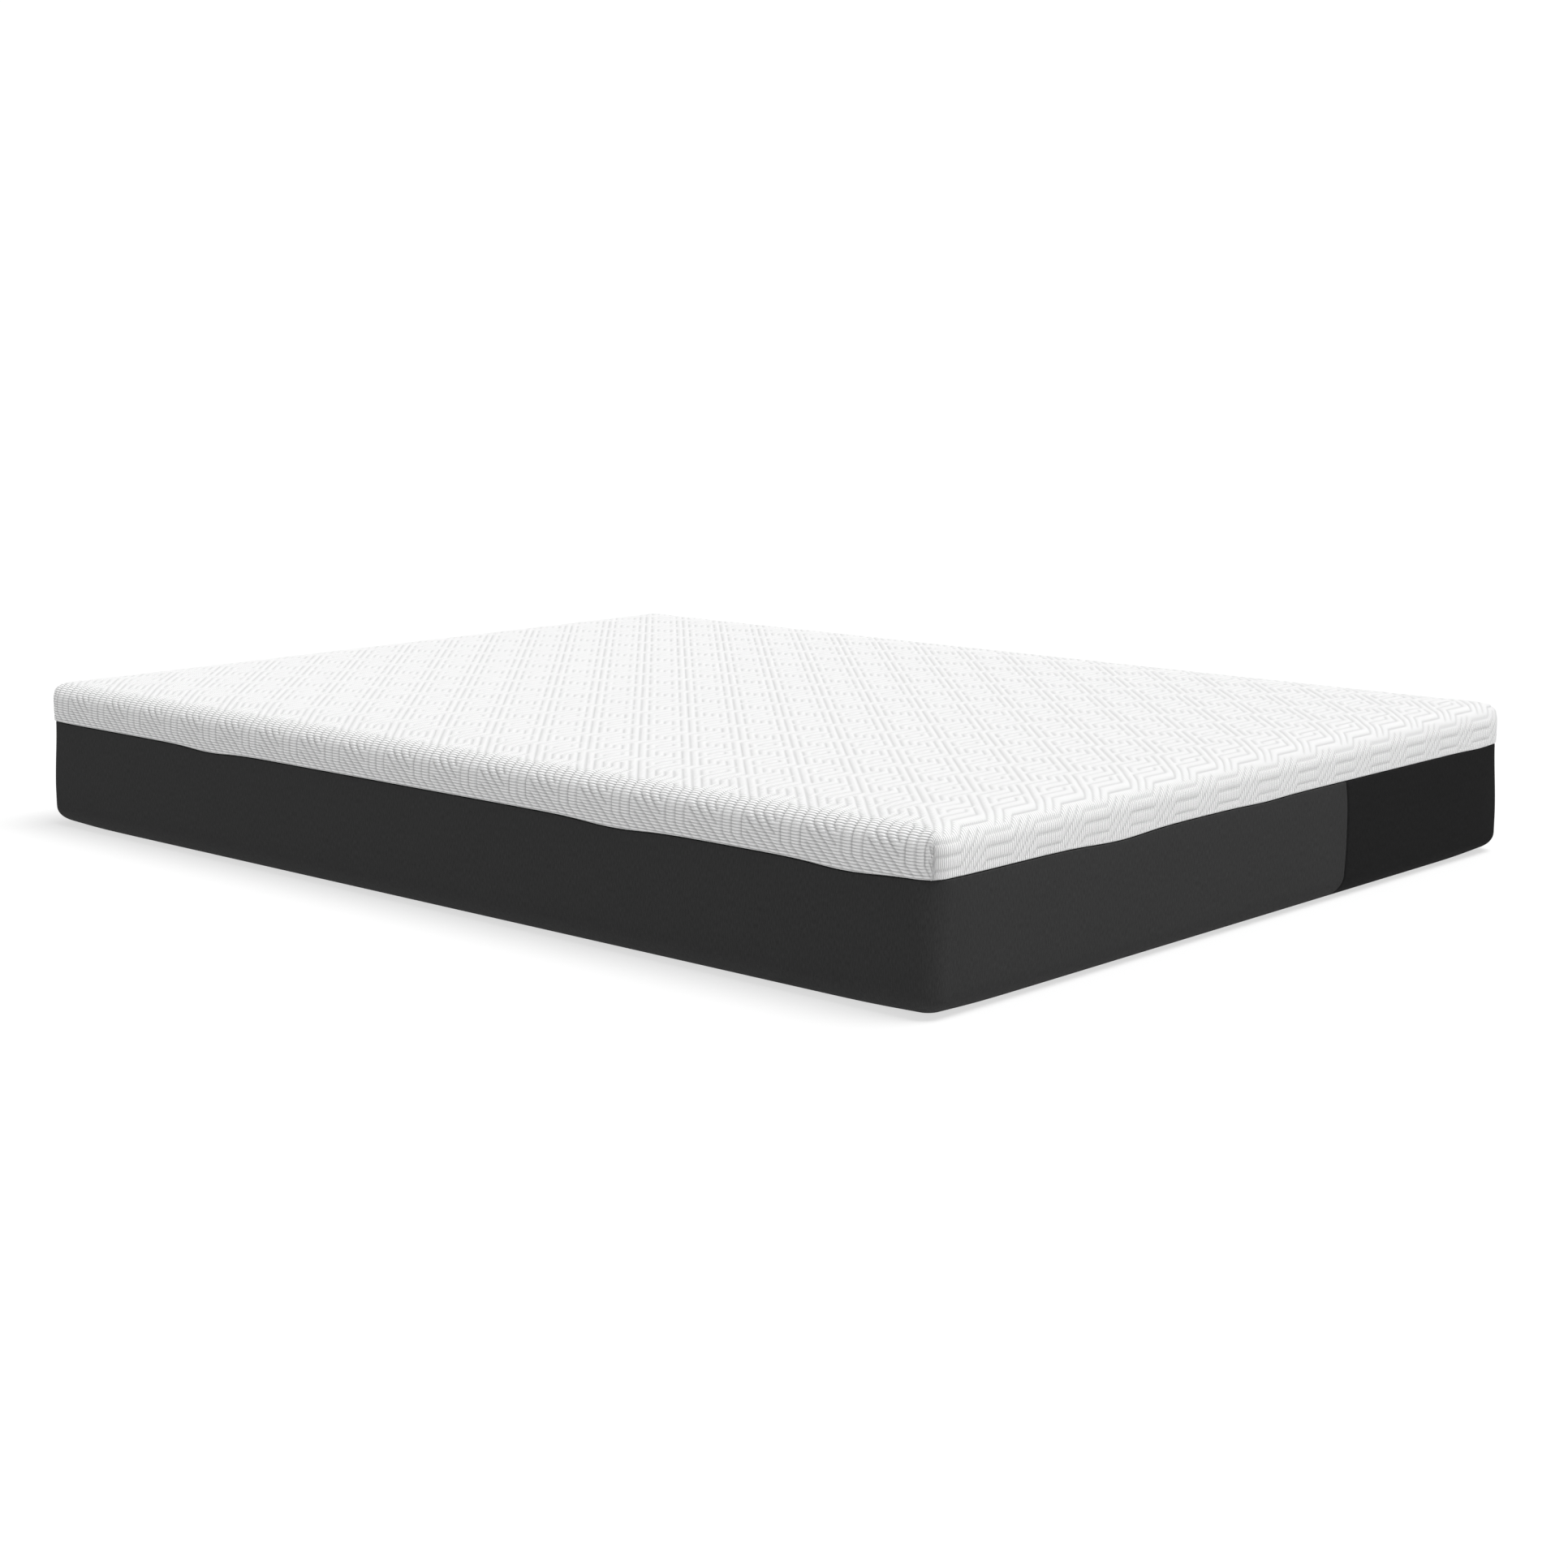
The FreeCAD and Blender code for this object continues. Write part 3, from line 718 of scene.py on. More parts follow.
@dataclass(frozen=True)
class Inflation:
    """Foam pressing the cover outwards, worked out by a cloth simulation on a coarse grid."""

    pressure: float = 4.0
    frames: int = 20
    stiffness: float = 25.0
    spacing: float = 30 * MM
    spread: float = 0.85

    def swell(self, points: np.ndarray, ids: np.ndarray, keep: np.ndarray | None, pinned: np.ndarray,
              most: float) -> np.ndarray:
        """Blows up a coarse grid, held where it is sewn, and caps how far it moves outwards.

        Args:
            points: places of the grid's vertices, rows by columns by 3.
            ids: vertex numbers of the grid, rows by columns, some of them shared.
            keep: which cells have cloth, or None.
            pinned: which vertices are sewn fast, rows by columns.
            most: the furthest that a point may move.

        Returns:
            The outward moves, in the shape of ids.
        """
        flat = points.reshape(-1, 3)
        faces = quads_of(ids, keep)
        used = np.unique(faces)
        body = new_piece("inflation", flat, faces)
        group = body.vertex_groups.new(name="sewn")
        held = np.flatnonzero(pinned.reshape(-1)[used])
        group.add([int(i) for i in held], 1.0, "REPLACE")
        cloth = body.modifiers.new("Cloth", "CLOTH")
        settings = cloth.settings
        settings.vertex_group_mass = "sewn"
        settings.use_pressure = True
        settings.uniform_pressure_force = self.pressure
        settings.effector_weights.gravity = 0.0
        settings.tension_stiffness = self.stiffness
        settings.compression_stiffness = self.stiffness
        settings.shear_stiffness = self.stiffness
        settings.bending_stiffness = 2.0
        settings.air_damping = 5.0
        settings.quality = 5
        cloth.point_cache.frame_start = 1
        cloth.point_cache.frame_end = self.frames
        scene = bpy.context.scene
        for number in range(1, self.frames + 1):
            scene.frame_set(number)
        shaped = body.evaluated_get(bpy.context.evaluated_depsgraph_get()).to_mesh()
        moved = np.empty(len(used) * 3, np.float32)
        shaped.vertices.foreach_get("co", moved)
        body.to_mesh_clear()
        mesh = body.data
        bpy.data.objects.remove(body)
        bpy.data.meshes.remove(mesh)
        scene.frame_set(1)
        move = np.zeros_like(flat)
        move[used] = moved.reshape(-1, 3) - flat[used]
        grid = flat[ids]
        out = normalised(np.cross(np.gradient(grid, axis=0), np.gradient(grid, axis=1)))
        along = np.maximum(np.sum(move[ids] * out, axis=-1, keepdims=True), 0.0)
        log.info("cloth moved out by up to %.1f mm", along.max() / MM)
        return out * (most * np.tanh(along / most))

    def resample(self, move: np.ndarray, rows: np.ndarray, columns: np.ndarray, new_rows: np.ndarray,
                 new_columns: np.ndarray) -> np.ndarray:
        """Reads the moves on a finer grid: each is an average weighted by a bell curve of distance.

        Args:
            move: moves on the coarse grid.
            rows: its row places.
            columns: its column places.
            new_rows: the fine grid's row places.
            new_columns: the fine grid's column places.

        Returns:
            The moves on the fine grid.
        """
        def weights(places: np.ndarray, wanted: np.ndarray) -> np.ndarray:
            """Weights of each coarse place at each wanted place, adding up to 1."""
            width = self.spread * np.median(np.abs(np.diff(places)))
            bell = np.exp(-((wanted[:, None] - places[None, :]) / width) ** 2)
            return bell / bell.sum(axis=1, keepdims=True)

        down, across = weights(rows, new_rows), weights(columns, new_columns)
        return np.einsum("ir,rcd,jc->ijd", down, move, across, optimize=True)


# ---------------------------------------------------------------- the quilted cap


@dataclass
class QuiltPattern:
    """The repeat of the quilting: diagonal channels broken by two cells of cross bars."""

    pitch_x: float = 18.13 * MM
    pitch_y: float = 18.05 * MM
    start_x: float = 1.0 * MM
    start_y: float = -49.8 * MM
    repeat: int = 6
    samples: int = 360
    channel: float = 1.6 * MM
    soft: float = 1.15 * MM
    puff: float = 4.2 * MM
    depth: float = 2.3 * MM
    swell: float = 0.7 * MM

    def __post_init__(self) -> None:
        """Draws one repeat of the pattern and blurs it once finely and once widely.

        The channels are lines where v - u is a whole number and a half, and in the
        two bar cells where v is. A Gaussian blur, as a product of spectra, rounds them.
        """
        step = self.repeat / self.samples
        u, v = np.meshgrid((np.arange(self.samples) + 0.5) * step, (np.arange(self.samples) + 0.5) * step,
                           indexing="ij")
        bars = ((u < 3) & (v < 3)) | (((u >= 4) | (u < 1)) & (v >= 3))
        to_bar = np.abs(np.mod(v, 1.0) - 0.5) * self.pitch_y
        to_diagonal = np.abs(np.mod(v - u, 1.0) - 0.5) * self.pitch_y / math.sqrt(2.0)
        line = np.where(bars, to_bar, to_diagonal) < self.channel / 2
        spectrum = np.fft.fft2(line.astype(float))
        wave = np.fft.fftfreq(self.samples, d=step * self.pitch_x)
        square = wave[:, None] ** 2 + wave[None, :] ** 2

        def blurred(width: float) -> np.ndarray:
            """The lines, blurred by a bell curve of that width, from 0 to 1."""
            soft = np.real(np.fft.ifft2(spectrum * np.exp(-2.0 * (math.pi * width) ** 2 * square)))
            return np.clip(soft / soft.max(), 0.0, 1.0)

        self.fine = blurred(self.soft)
        self.wide = blurred(self.puff)

    def read(self, picture: np.ndarray, a: np.ndarray, b: np.ndarray) -> np.ndarray:
        """Reads a picture of the repeat at fabric places, between its samples in proportion.

        Args:
            picture: one repeat, as values.
            a: places across the fabric.
            b: places along the fabric.

        Returns:
            The values there.
        """
        i = (a - self.start_x) / self.pitch_x * self.samples / self.repeat - 0.5
        j = (b - self.start_y) / self.pitch_y * self.samples / self.repeat - 0.5
        i0, j0 = np.floor(i).astype(int), np.floor(j).astype(int)
        fi, fj = i - i0, j - j0
        n = self.samples
        i0, j0, i1, j1 = i0 % n, j0 % n, (i0 + 1) % n, (j0 + 1) % n
        low = picture[i0, j0] * (1 - fi) + picture[i1, j0] * fi
        high = picture[i0, j1] * (1 - fi) + picture[i1, j1] * fi
        return low * (1 - fj) + high * fj

    def relief(self, a: np.ndarray, b: np.ndarray) -> tuple[np.ndarray, np.ndarray]:
        """Height of the quilting, and how far each place is inside a channel, from 0 to 1."""
        groove = self.read(self.fine, a, b)
        valley = self.read(self.wide, a, b)
        return self.swell * (0.5 - valley) - self.depth * groove, groove


@dataclass
class QuiltedCap:
    """The white top, wrapped over the edges and sewn at its four corners."""

    shape: CoverShape
    pattern: QuiltPattern
    inflation: Inflation
    edge_round: float = 34 * MM
    corner_power: float = 7.0
    corner_draw: float = 10.0 * MM
    corner_reach: float = 42 * MM
    cell: float = 2.75 * MM
    flap_cells: int = 14
    hem_cells: int = 4
    most_swell: float = 4.5 * MM
    end_flatten: float = 0.42
    flatten_zone: tuple[float, float] = (0.8, 0.5)
    fade_cells: tuple[float, float] = (2.0, 1.0)
    hem_draw: float = 0.8 * MM
    hem_draw_from: float = 0.6
    quick_powers: tuple[int, int] = (8, 10)
    seam_tuck: float = 1.1 * MM
    seam_reach: float = 2.2 * MM
    thread_lead: int = 7
    thread_lift: float = 0.15 * MM
    thread_radius: float = 0.75 * MM
    thread_stitch: float = 3.2 * MM
    thread_bead: float = 0.28
    thread_points: int = 90

    def axis(self, half: float, cell: float, flap: int, hem: int) -> tuple[np.ndarray, np.ndarray]:
        """Grid places along one direction: the top with its rounded edges, then the flaps and hems.

        Args:
            half: half of the mattress in this direction.
            cell: grid step on the top.
            flap: steps down each flap.
            hem: steps round each hem.

        Returns:
            Signed fabric places on the top part, and signed flap steps, 0 on the top.
        """
        reach = half - self.edge_round + self.edge_round * math.pi / 2
        count = 2 * int(round(reach / cell))
        top = np.linspace(-reach, reach, count + 1)
        steps = np.arange(1, flap + hem + 1, dtype=float)
        place = np.concatenate([np.full(len(steps), -reach), top, np.full(len(steps), reach)])
        return place, np.concatenate([-steps[::-1], np.zeros(count + 1), steps])

    def surface(self, cell: float, flap: int, hem: int) -> dict[str, np.ndarray]:
        """The cap without its quilting.

        Each direction follows a flat run and a quarter circle; the two drops are joined
        by a power mean, so that the corners are mitred. Beyond the circle a flap goes
        straight down to the seam and round its hem.

        Args:
            cell: grid step on the top.
            flap: steps down each flap.
            hem: steps round each hem.

        Returns:
            points, fabric places a and b, vertex numbers, kept cells, flap steps and the axes.
        """
        shape, r = self.shape, self.edge_round
        w, l = shape.half_width, shape.half_length
        place_a, step_a = self.axis(w, cell, flap, hem)
        place_b, step_b = self.axis(l, cell, flap, hem)
        fall = []
        plan = []
        for place, half in ((place_a, w), (place_b, l)):
            angle = np.clip((np.abs(place) - (half - r)) / r, 0.0, math.pi / 2)
            plan.append(np.sign(place) * np.where(angle > 0, half - r + r * np.sin(angle), np.abs(place)))
            fall.append(r * (1.0 - np.cos(angle)))
        x, y = np.meshgrid(plan[0], plan[1], indexing="ij")
        power = self.corner_power
        drop = (fall[0][:, None] ** power + fall[1][None, :] ** power) ** (1.0 / power)
        step = np.maximum(np.abs(step_a)[:, None], np.abs(step_b)[None, :])
        top = shape.height - drop
        end = shape.seam_height(x, y) + shape.hem
        share = np.clip(step / flap, 0.0, 1.0)
        turn = np.clip((step - flap) / max(hem, 1), 0.0, 1.0) * math.pi / 2
        z = top + (end - top) * share - shape.hem * np.sin(turn)
        drawn = shape.hem * (1.0 - np.cos(turn)) + self.hem_draw * smooth(share, self.hem_draw_from, 1.0)
        x = x - np.sign(step_a)[:, None] * drawn
        y = y - np.sign(step_b)[None, :] * drawn
        near = [np.clip(1.0 - (half - np.abs(v)) / self.corner_reach, 0.0, 1.0) ** 2
                for v, half in ((x, w), (y, l))]
        pull = self.corner_draw * near[0] * near[1]
        points = np.stack([x - np.sign(x) * pull, y - np.sign(y) * pull, z], axis=-1)
        length = top - z + shape.hem * turn
        a = np.broadcast_to(place_a[:, None], z.shape) + np.sign(step_a)[:, None] * length + w
        b = np.broadcast_to(place_b[:, None].T, z.shape) + np.sign(step_b)[None, :] * length + l
        ids = np.arange(z.size).reshape(z.shape)
        n = flap + hem
        flap_a, flap_b = (np.maximum(np.abs(v[1:]), np.abs(v[:-1])) > 0 for v in (step_a, step_b))
        keep = ~(flap_a[:, None] & flap_b[None, :])
        for corner_i, way_i in ((n, -1), (z.shape[0] - 1 - n, 1)):
            for corner_j, way_j in ((n, -1), (z.shape[1] - 1 - n, 1)):
                reach = np.arange(0, n + 1)
                ids[corner_i + way_i * reach, corner_j] = ids[corner_i, corner_j + way_j * reach]
        return {"points": points, "a": a, "b": b, "ids": ids, "keep": keep, "step": step,
                "step_a": step_a, "step_b": step_b, "place_a": place_a, "place_b": place_b}

    def swelling(self, fine: dict[str, np.ndarray]) -> np.ndarray:
        """Args:
            fine: the fine surface that the moves are read on.

        Returns:
            A move for each of its vertices.
        """
        coarse = self.surface(self.inflation.spacing, 2, 0)
        pinned = coarse["step"] >= 2
        move = self.inflation.swell(coarse["points"], coarse["ids"], coarse["keep"], pinned,
                                    self.most_swell)
        spacing = self.inflation.spacing
        places = [grid[place] + grid[step] * spacing / count
                  for grid, count in ((coarse, 2), (fine, self.flap_cells + self.hem_cells))
                  for place, step in (("place_a", "step_a"), ("place_b", "step_b"))]
        return self.inflation.resample(move, *places)

    def build(self, wardrobe: Wardrobe) -> bpy.types.Object:
        """Makes the quilted cap.

        Args:
            wardrobe: the finishes.

        Returns:
            The cap.
        """
        made = self.surface(self.cell, self.flap_cells, self.hem_cells)
        points = made["points"] + self.swelling(made)
        normal = normalised(np.cross(np.gradient(points, axis=0), np.gradient(points, axis=1)))
        relief, groove = self.pattern.relief(made["a"], made["b"])
        before, beyond = self.flatten_zone
        at_ends = smooth(np.abs(made["place_b"]), self.shape.half_length - before * self.edge_round,
                         self.shape.half_length + beyond * self.edge_round)[None, :]
        kept = 1.0 - self.end_flatten * at_ends
        relief, groove = relief * kept, groove * kept
        before, beyond = self.fade_cells
        hem_fade = 1.0 - smooth(made["step"], self.flap_cells - before, self.flap_cells + beyond)
        on_a, on_b = np.abs(made["step_a"]) > 0, np.abs(made["step_b"]) > 0
        seam_a = np.abs(np.abs(made["place_a"]) - np.abs(made["place_a"]).max()) + on_a * 1.0
        seam_b = np.abs(np.abs(made["place_b"]) - np.abs(made["place_b"]).max()) + on_b * 1.0
        to_seam = np.where(on_b[None, :], seam_a[:, None], np.where(on_a[:, None], seam_b[None, :], 1.0))
        tuck = self.seam_tuck * np.exp(-(to_seam / self.seam_reach) ** 2)
        at_seam = ((seam_a[:, None] < 1e-6) & on_b[None, :]) | ((seam_b[None, :] < 1e-6) & on_a[:, None])
        way_a, way_b = np.sign(made["place_a"])[:, None], np.sign(made["place_b"])[None, :]
        out = np.stack(np.broadcast_arrays(way_a, way_b, 0.0), axis=-1) / math.sqrt(2.0)
        normal = np.where(at_seam[..., None], out, normal)
        lift = np.where(at_seam, 0.0, relief * hem_fade) - tuck
        points = points + normal * lift[..., None]
        uv = np.stack([made["a"], made["b"]], axis=-1)
        # The groove mask is kept on the vertices so that the quilt material can paint shade in the channels.
        cap = new_piece("quilted_cap", points.reshape(-1, 3), quads_of(made["ids"], made["keep"]),
                        uv.reshape(-1, 2), {"groove": (groove * hem_fade).reshape(-1)})
        wardrobe.dress(cap, "quilt_knit")
        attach(cap, "mattress")
        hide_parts("quilt_knit_face")
        self.seam_lines(made, points, wardrobe)
        return cap

    def seam_lines(self, made: dict[str, np.ndarray], points: np.ndarray, wardrobe: Wardrobe) -> None:
        """Sews the four upright corner seams: a beaded thread down each corner line of the cap.

        Args:
            made: the fine surface.
            points: its finished vertex places.
            wardrobe: the finishes.
        """
        n = self.flap_cells + self.hem_cells
        rows, columns = made["ids"].shape
        flat = points.reshape(-1, 3)
        threads = []
        for i in (n, rows - 1 - n):
            for j, way in ((n, -1), (columns - 1 - n, 1)):
                ends = flat[made["ids"][i, j + way * np.arange(-self.thread_lead, n + 1)]]
                out = np.array([np.sign(ends[-1, 0]), np.sign(ends[-1, 1]), 0.0]) / math.sqrt(2.0)
                path, wanted = even_path(ends, self.thread_points)
                path = path + out * self.thread_lift
                swell = np.abs(np.sin(wanted / self.thread_stitch * math.pi))
                radius = self.thread_radius * (1.0 - self.thread_bead + self.thread_bead * swell)
                facing = np.broadcast_to(out, path.shape)
                threads.append(tube_along("thread", path, facing, radius, 8, False))
        seam = join_pieces("corner_seam_threads", threads)
        wardrobe.dress(seam, "white_seam")
        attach(seam, "mattress")
        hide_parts("corner_seams")


def join_pieces(name: str, pieces: list[bpy.types.Object]) -> bpy.types.Object:
    """Joins separate meshes into one piece with that name."""
    for piece in bpy.context.selected_objects:
        piece.select_set(False)
    for piece in pieces:
        piece.select_set(True)
    bpy.context.view_layer.objects.active = pieces[0]
    bpy.ops.object.join()
    whole = pieces[0]
    whole.name = name
    whole.data.name = name
    whole.select_set(False)
    return whole


# ---------------------------------------------------------------- the border


@dataclass
class Border:
    """The gray and black sides, from the cap's seam down the wall and under to the base cloth."""

    shape: CoverShape
    inflation: Inflation
    step: float = 13 * MM
    join_x: float = field(default_factory=lambda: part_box("border_black")[0].x - 1 * MM)
    join_y: float = field(default_factory=lambda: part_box("border_black")[1].y + 1 * MM)
    under: float = field(default_factory=lambda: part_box("border_gray")[1].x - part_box("bottom_seam")[1].x)
    join_tuck: float = 1.3 * MM
    join_reach: float = 2.6 * MM
    join_turn: float = 40 * MM
    join_lean: float = 30 * MM
    join_steepest: float = 0.97
    under_lean: float = 0.4
    join_zone: tuple[float, float] = (9 * MM, 1 * MM)
    window_end_zone: tuple[float, float] = (5 * MM, 0.8 * MM)
    window_edge_zone: tuple[float, float] = (3.2 * MM, 0.8 * MM)
    corner_cell: float = 4 * MM
    wall_cell: float = 9 * MM
    hem_rows: int = 6
    round_rows: int = 15
    under_rows: int = 4
    widen_from: float = 60 * MM
    sag_from: float = 90 * MM
    cord_step: float = 6 * MM
    cord_radius: float = 1.3 * MM
    cord_inset: float = 0.75
    welt_radius: float = 0.75 * MM
    welt_stitch: float = 2.6 * MM
    welt_bead: float = 0.15
    welt_points: int = 150
    lip: float = 2.0 * MM
    lip_depth: float = 5.0 * MM
    cut_margin: float = 0.3 * MM
    calm_reach: tuple[float, float] = (25 * MM, 2 * MM)
    tip_calm: float = 0.8
    off_floor: float = 0.1 * MM
    most_swell: float = 3.4 * MM
    cloth_rows: int = 9
    rise: float = 4.0 * MM
    rise_reach: float = 90 * MM
    pull_reach: float = 90 * MM
    top_bow: float = 3.5 * MM
    bow_start: float = 0.12
    bow_length: float = 0.065

    def __post_init__(self) -> None:
        """Finds the joins on the outline and the zip's window on the head end."""
        shape = self.shape
        self.foot_join = self.join_x + shape.half_width
        self.side_join = 2 * shape.half_width + self.join_y + shape.half_length
        low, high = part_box("zip_tape_lower")[0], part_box("zip_tape_upper")[1]
        self.window_half = high.x
        self.window_low, self.window_high = low.z, high.z
        self.head_middle = 3 * shape.half_width + 2 * shape.half_length

    def columns(self) -> np.ndarray:
        """Places along the outline, closer together at joins, corners and the window's ends."""
        spots = [(join, *self.join_zone) for join in (self.foot_join, self.side_join)]
        spots += [(self.head_middle + way * self.window_half, *self.window_end_zone) for way in (-1, 1)]
        w, l, zone = self.shape.half_width, self.shape.half_length, self.shape.corner_zone
        for corner in np.cumsum([0, 2 * w, 2 * l, 2 * w, 2 * l]):
            spots.append((corner, zone, self.corner_cell))
        places = packed_steps(0.0, self.shape.perimeter, self.step, spots)
        for join in (self.foot_join, self.side_join):
            places[np.argmin(np.abs(places - join))] = join
        return places

    def rows(self) -> tuple[np.ndarray, np.ndarray, np.ndarray]:
        """The strip's profile: hem, wall, rounded bottom and underside.

        Returns:
            Inset, height and corner radius of each row, from the top.
        """
        shape = self.shape
        hem, r = shape.hem, shape.base_round
        turn = np.linspace(math.pi / 2, 0.0, self.hem_rows)
        top = shape.seam_level
        spots = [(edge, *self.window_edge_zone) for edge in (self.window_low, self.window_high)]
        wall = packed_steps(top - hem, r, self.wall_cell, spots)[1:]
        arc = np.linspace(0.0, math.pi / 2, self.round_rows)[1:]
        under = np.linspace(r, self.under, self.under_rows)[1:]
        inset = np.concatenate([hem * (1 - np.cos(turn)), 0 * wall, r * (1 - np.cos(arc)), under])
        level = np.concatenate([top - hem + hem * np.sin(turn), wall, r * (1 - np.sin(arc)), 0 * under])
        high = smooth(level, self.widen_from, top)
        radius = shape.corner_low + (shape.corner_high - shape.corner_low) * high
        lower = radius + (shape.corner_under - radius) * np.clip(inset / r, 0.0, 1.0)
        radius = np.where(level < r, lower, radius)
        return inset, level, radius

    def lean(self, level: np.ndarray, inset: np.ndarray) -> np.ndarray:
        """How far a join leans back: a quarter ellipse low down, and a slight bow at the top."""
        low = np.clip((self.join_turn - level) / self.join_turn, 0.0, 1.0)
        high = np.clip((level - self.bow_start) / self.bow_length, 0.0, 1.0)
        under = np.maximum(inset - self.shape.base_round, 0.0)
        ellipse = self.join_lean * (1.0 - np.sqrt(1.0 - self.join_steepest * low ** 2))
        return -ellipse - self.top_bow * high ** 2 - self.under_lean * under

    def surface(self, along: np.ndarray, inset: np.ndarray, level: np.ndarray, radius: np.ndarray
                ) -> tuple[np.ndarray, np.ndarray]:
        """Places of the strip, and its outward level direction.

        Args:
            along: places along the outline, rows by columns.
            inset: how far each row is drawn in.
            level: each row's height.
            radius: each row's corner radius.

        Returns:
            Points and directions, rows by columns by 3.
        """
        x, y, nx, ny = self.shape.outline(along, inset[:, None], radius[:, None])
        sag = self.shape.seam_height(x, y) - self.shape.seam_level
        z = level[:, None] + sag * smooth(level, self.sag_from, self.shape.seam_level)[:, None]
        return np.stack([x, y, z], axis=-1), np.stack([nx, ny, 0 * nx], axis=-1)

    def swelling(self, along: np.ndarray, level: np.ndarray, inset: np.ndarray,
                 radius: np.ndarray) -> np.ndarray:
        """Args:
            along: the fine strip's places along the outline.
            level: its row heights.
            inset: its row insets.
            radius: its row corner radii.

        Returns:
            The outward move of each vertex, rows by columns.
        """
        span = np.concatenate([[0.0], np.cumsum(np.hypot(np.diff(level), np.diff(inset)))])
        rows = np.linspace(0.0, span[-1], self.cloth_rows)
        count = int(self.shape.perimeter / self.inflation.spacing)
        coarse = np.linspace(0.0, self.shape.perimeter, count, endpoint=False)
        profile = [np.interp(rows, span, v) for v in (inset, level, radius)]
        grid = (self.cloth_rows, count)
        points, facing = self.surface(np.broadcast_to(coarse, grid), *profile)
        ids = np.arange(grid[0] * count).reshape(grid)
        wrapped = np.concatenate([ids, ids[:, :1]], axis=1)
        pinned = np.zeros(grid, bool)
        pinned[0], pinned[-2:] = True, True
        move = self.inflation.swell(points, wrapped, None, pinned, self.most_swell)[:, :count]
        out = np.sum(move * facing, axis=-1, keepdims=True)
        out = np.concatenate([out[:, -3:], out, out[:, :3]], axis=1)
        step = coarse[1]
        wide = np.concatenate([coarse[:3] - 3 * step, coarse, coarse[-1] + step * np.arange(1, 4)])
        return self.inflation.resample(out, rows, wide, span, along)[..., 0]

    def corner_rise(self, points: np.ndarray, inset: np.ndarray, level: np.ndarray) -> np.ndarray:
        """How far the bottom corners turn up: most on the lower part of the rounded edge.

        Args:
            points: places of the strip.
            inset: how far each row is drawn in.
            level: each row's height.

        Returns:
            The rise of each vertex, rows by columns.
        """
        shape = self.shape
        beyond = np.abs(points[..., :2]) - np.array([shape.half_width, shape.half_length])
        bell = np.exp(-np.sum(beyond ** 2, axis=-1) / self.rise_reach ** 2)
        share = np.sin(0.75 * math.pi * np.clip(inset / shape.base_round, 0.0, 1.0))
        share = share * (1.0 - smooth(inset, shape.base_round, self.under)) * (level < shape.base_round)
        return self.rise * bell * share[:, None]

    def shaped(self, along: np.ndarray, inset: np.ndarray, level: np.ndarray, radius: np.ndarray
               ) -> tuple[np.ndarray, np.ndarray, np.ndarray]:
        """Leans the strip at its joins, swells its wall and presses in the zip's window.

        Args:
            along: places along the outline.
            inset: how far each row is drawn in.
            level: each row's height.
            radius: each row's corner radius.

        Returns:
            Points, outward level directions, and how far inside the window each vertex lies.
        """
        warped = np.broadcast_to(along, (len(level), len(along))).copy()
        lean = self.lean(level, inset)
        for join, way in ((self.foot_join, 1.0), (self.side_join, -1.0)):
            pull = np.exp(-((along - join) / self.pull_reach) ** 2)
            warped += way * lean[:, None] * pull[None, :]
        warped = np.clip(warped, 0.0, self.shape.perimeter)
        points, facing = self.surface(warped, inset, level, radius)
        swell = self.swelling(along, level, inset, radius)
        head = np.abs(along - self.head_middle)
        inside = np.minimum((self.window_half - head)[None, :],
                            np.minimum(self.window_high - level, level - self.window_low)[:, None])
        swell = swell * (1.0 - smooth(inside, -self.calm_reach[0], -self.calm_reach[1]))
        dent = self.lip_depth * smooth(inside, 0.0, self.lip)
        for join in (self.foot_join, self.side_join):
            dent = dent + self.join_tuck * np.exp(-((along - join) / self.join_reach) ** 2)[None, :]
        away = facing.copy()
        base_round = self.shape.base_round
        tip = np.clip(inset / base_round * (level < base_round), 0.0, 1.0)[:, None]
        away[..., 2] -= tip
        away = normalised(away)
        points = points + away * (swell * (1 - tip) - dent * (1 - self.tip_calm * tip))[..., None]
        rise = self.corner_rise(points, inset, level)
        points[..., 2] = np.maximum(points[..., 2], self.off_floor) + rise
        return points, facing, inside

    def build(self, wardrobe: Wardrobe) -> None:
        """Makes both border panels, the welts at their joins and the cord below the cap.

        Args:
            wardrobe: the finishes.
        """
        inset, level, radius = self.rows()
        along = self.columns()
        points, facing, inside = self.shaped(along, inset, level, radius)
        open_cell = inside > self.lip + self.cut_margin
        covered = ~(open_cell[1:, 1:] | open_cell[:-1, :-1] | open_cell[1:, :-1] | open_cell[:-1, 1:])
        middle = (along[1:] + along[:-1]) / 2
        black = (middle > self.foot_join) & (middle < self.side_join)
        ids = np.arange(points[..., 0].size).reshape(len(level), len(along))
        ids[:, -1] = ids[:, 0]
        span = np.concatenate([[0.0], np.cumsum(np.hypot(np.diff(level), np.diff(inset)))])
        uv = np.stack(np.broadcast_arrays(along[None, :], -span[:, None]), axis=-1)
        black_length = self.side_join - self.foot_join
        for panel, chosen, slot, run in (
                (Panel.GRAY, ~black, "gray_knit", self.shape.perimeter - black_length),
                (Panel.BLACK, black, "black_knit", black_length)):
            piece = new_piece(panel.value.replace("border", "border_cloth"), points.reshape(-1, 3),
                              quads_of(ids, covered & chosen[None, :]), uv.reshape(-1, 2),
                              lap=self.shape.perimeter)
            wardrobe.dress(piece, slot)
            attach(piece, "mattress")
            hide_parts(panel.value)
        self.joins(points, facing, along, wardrobe)
        self.edge_cord(wardrobe)

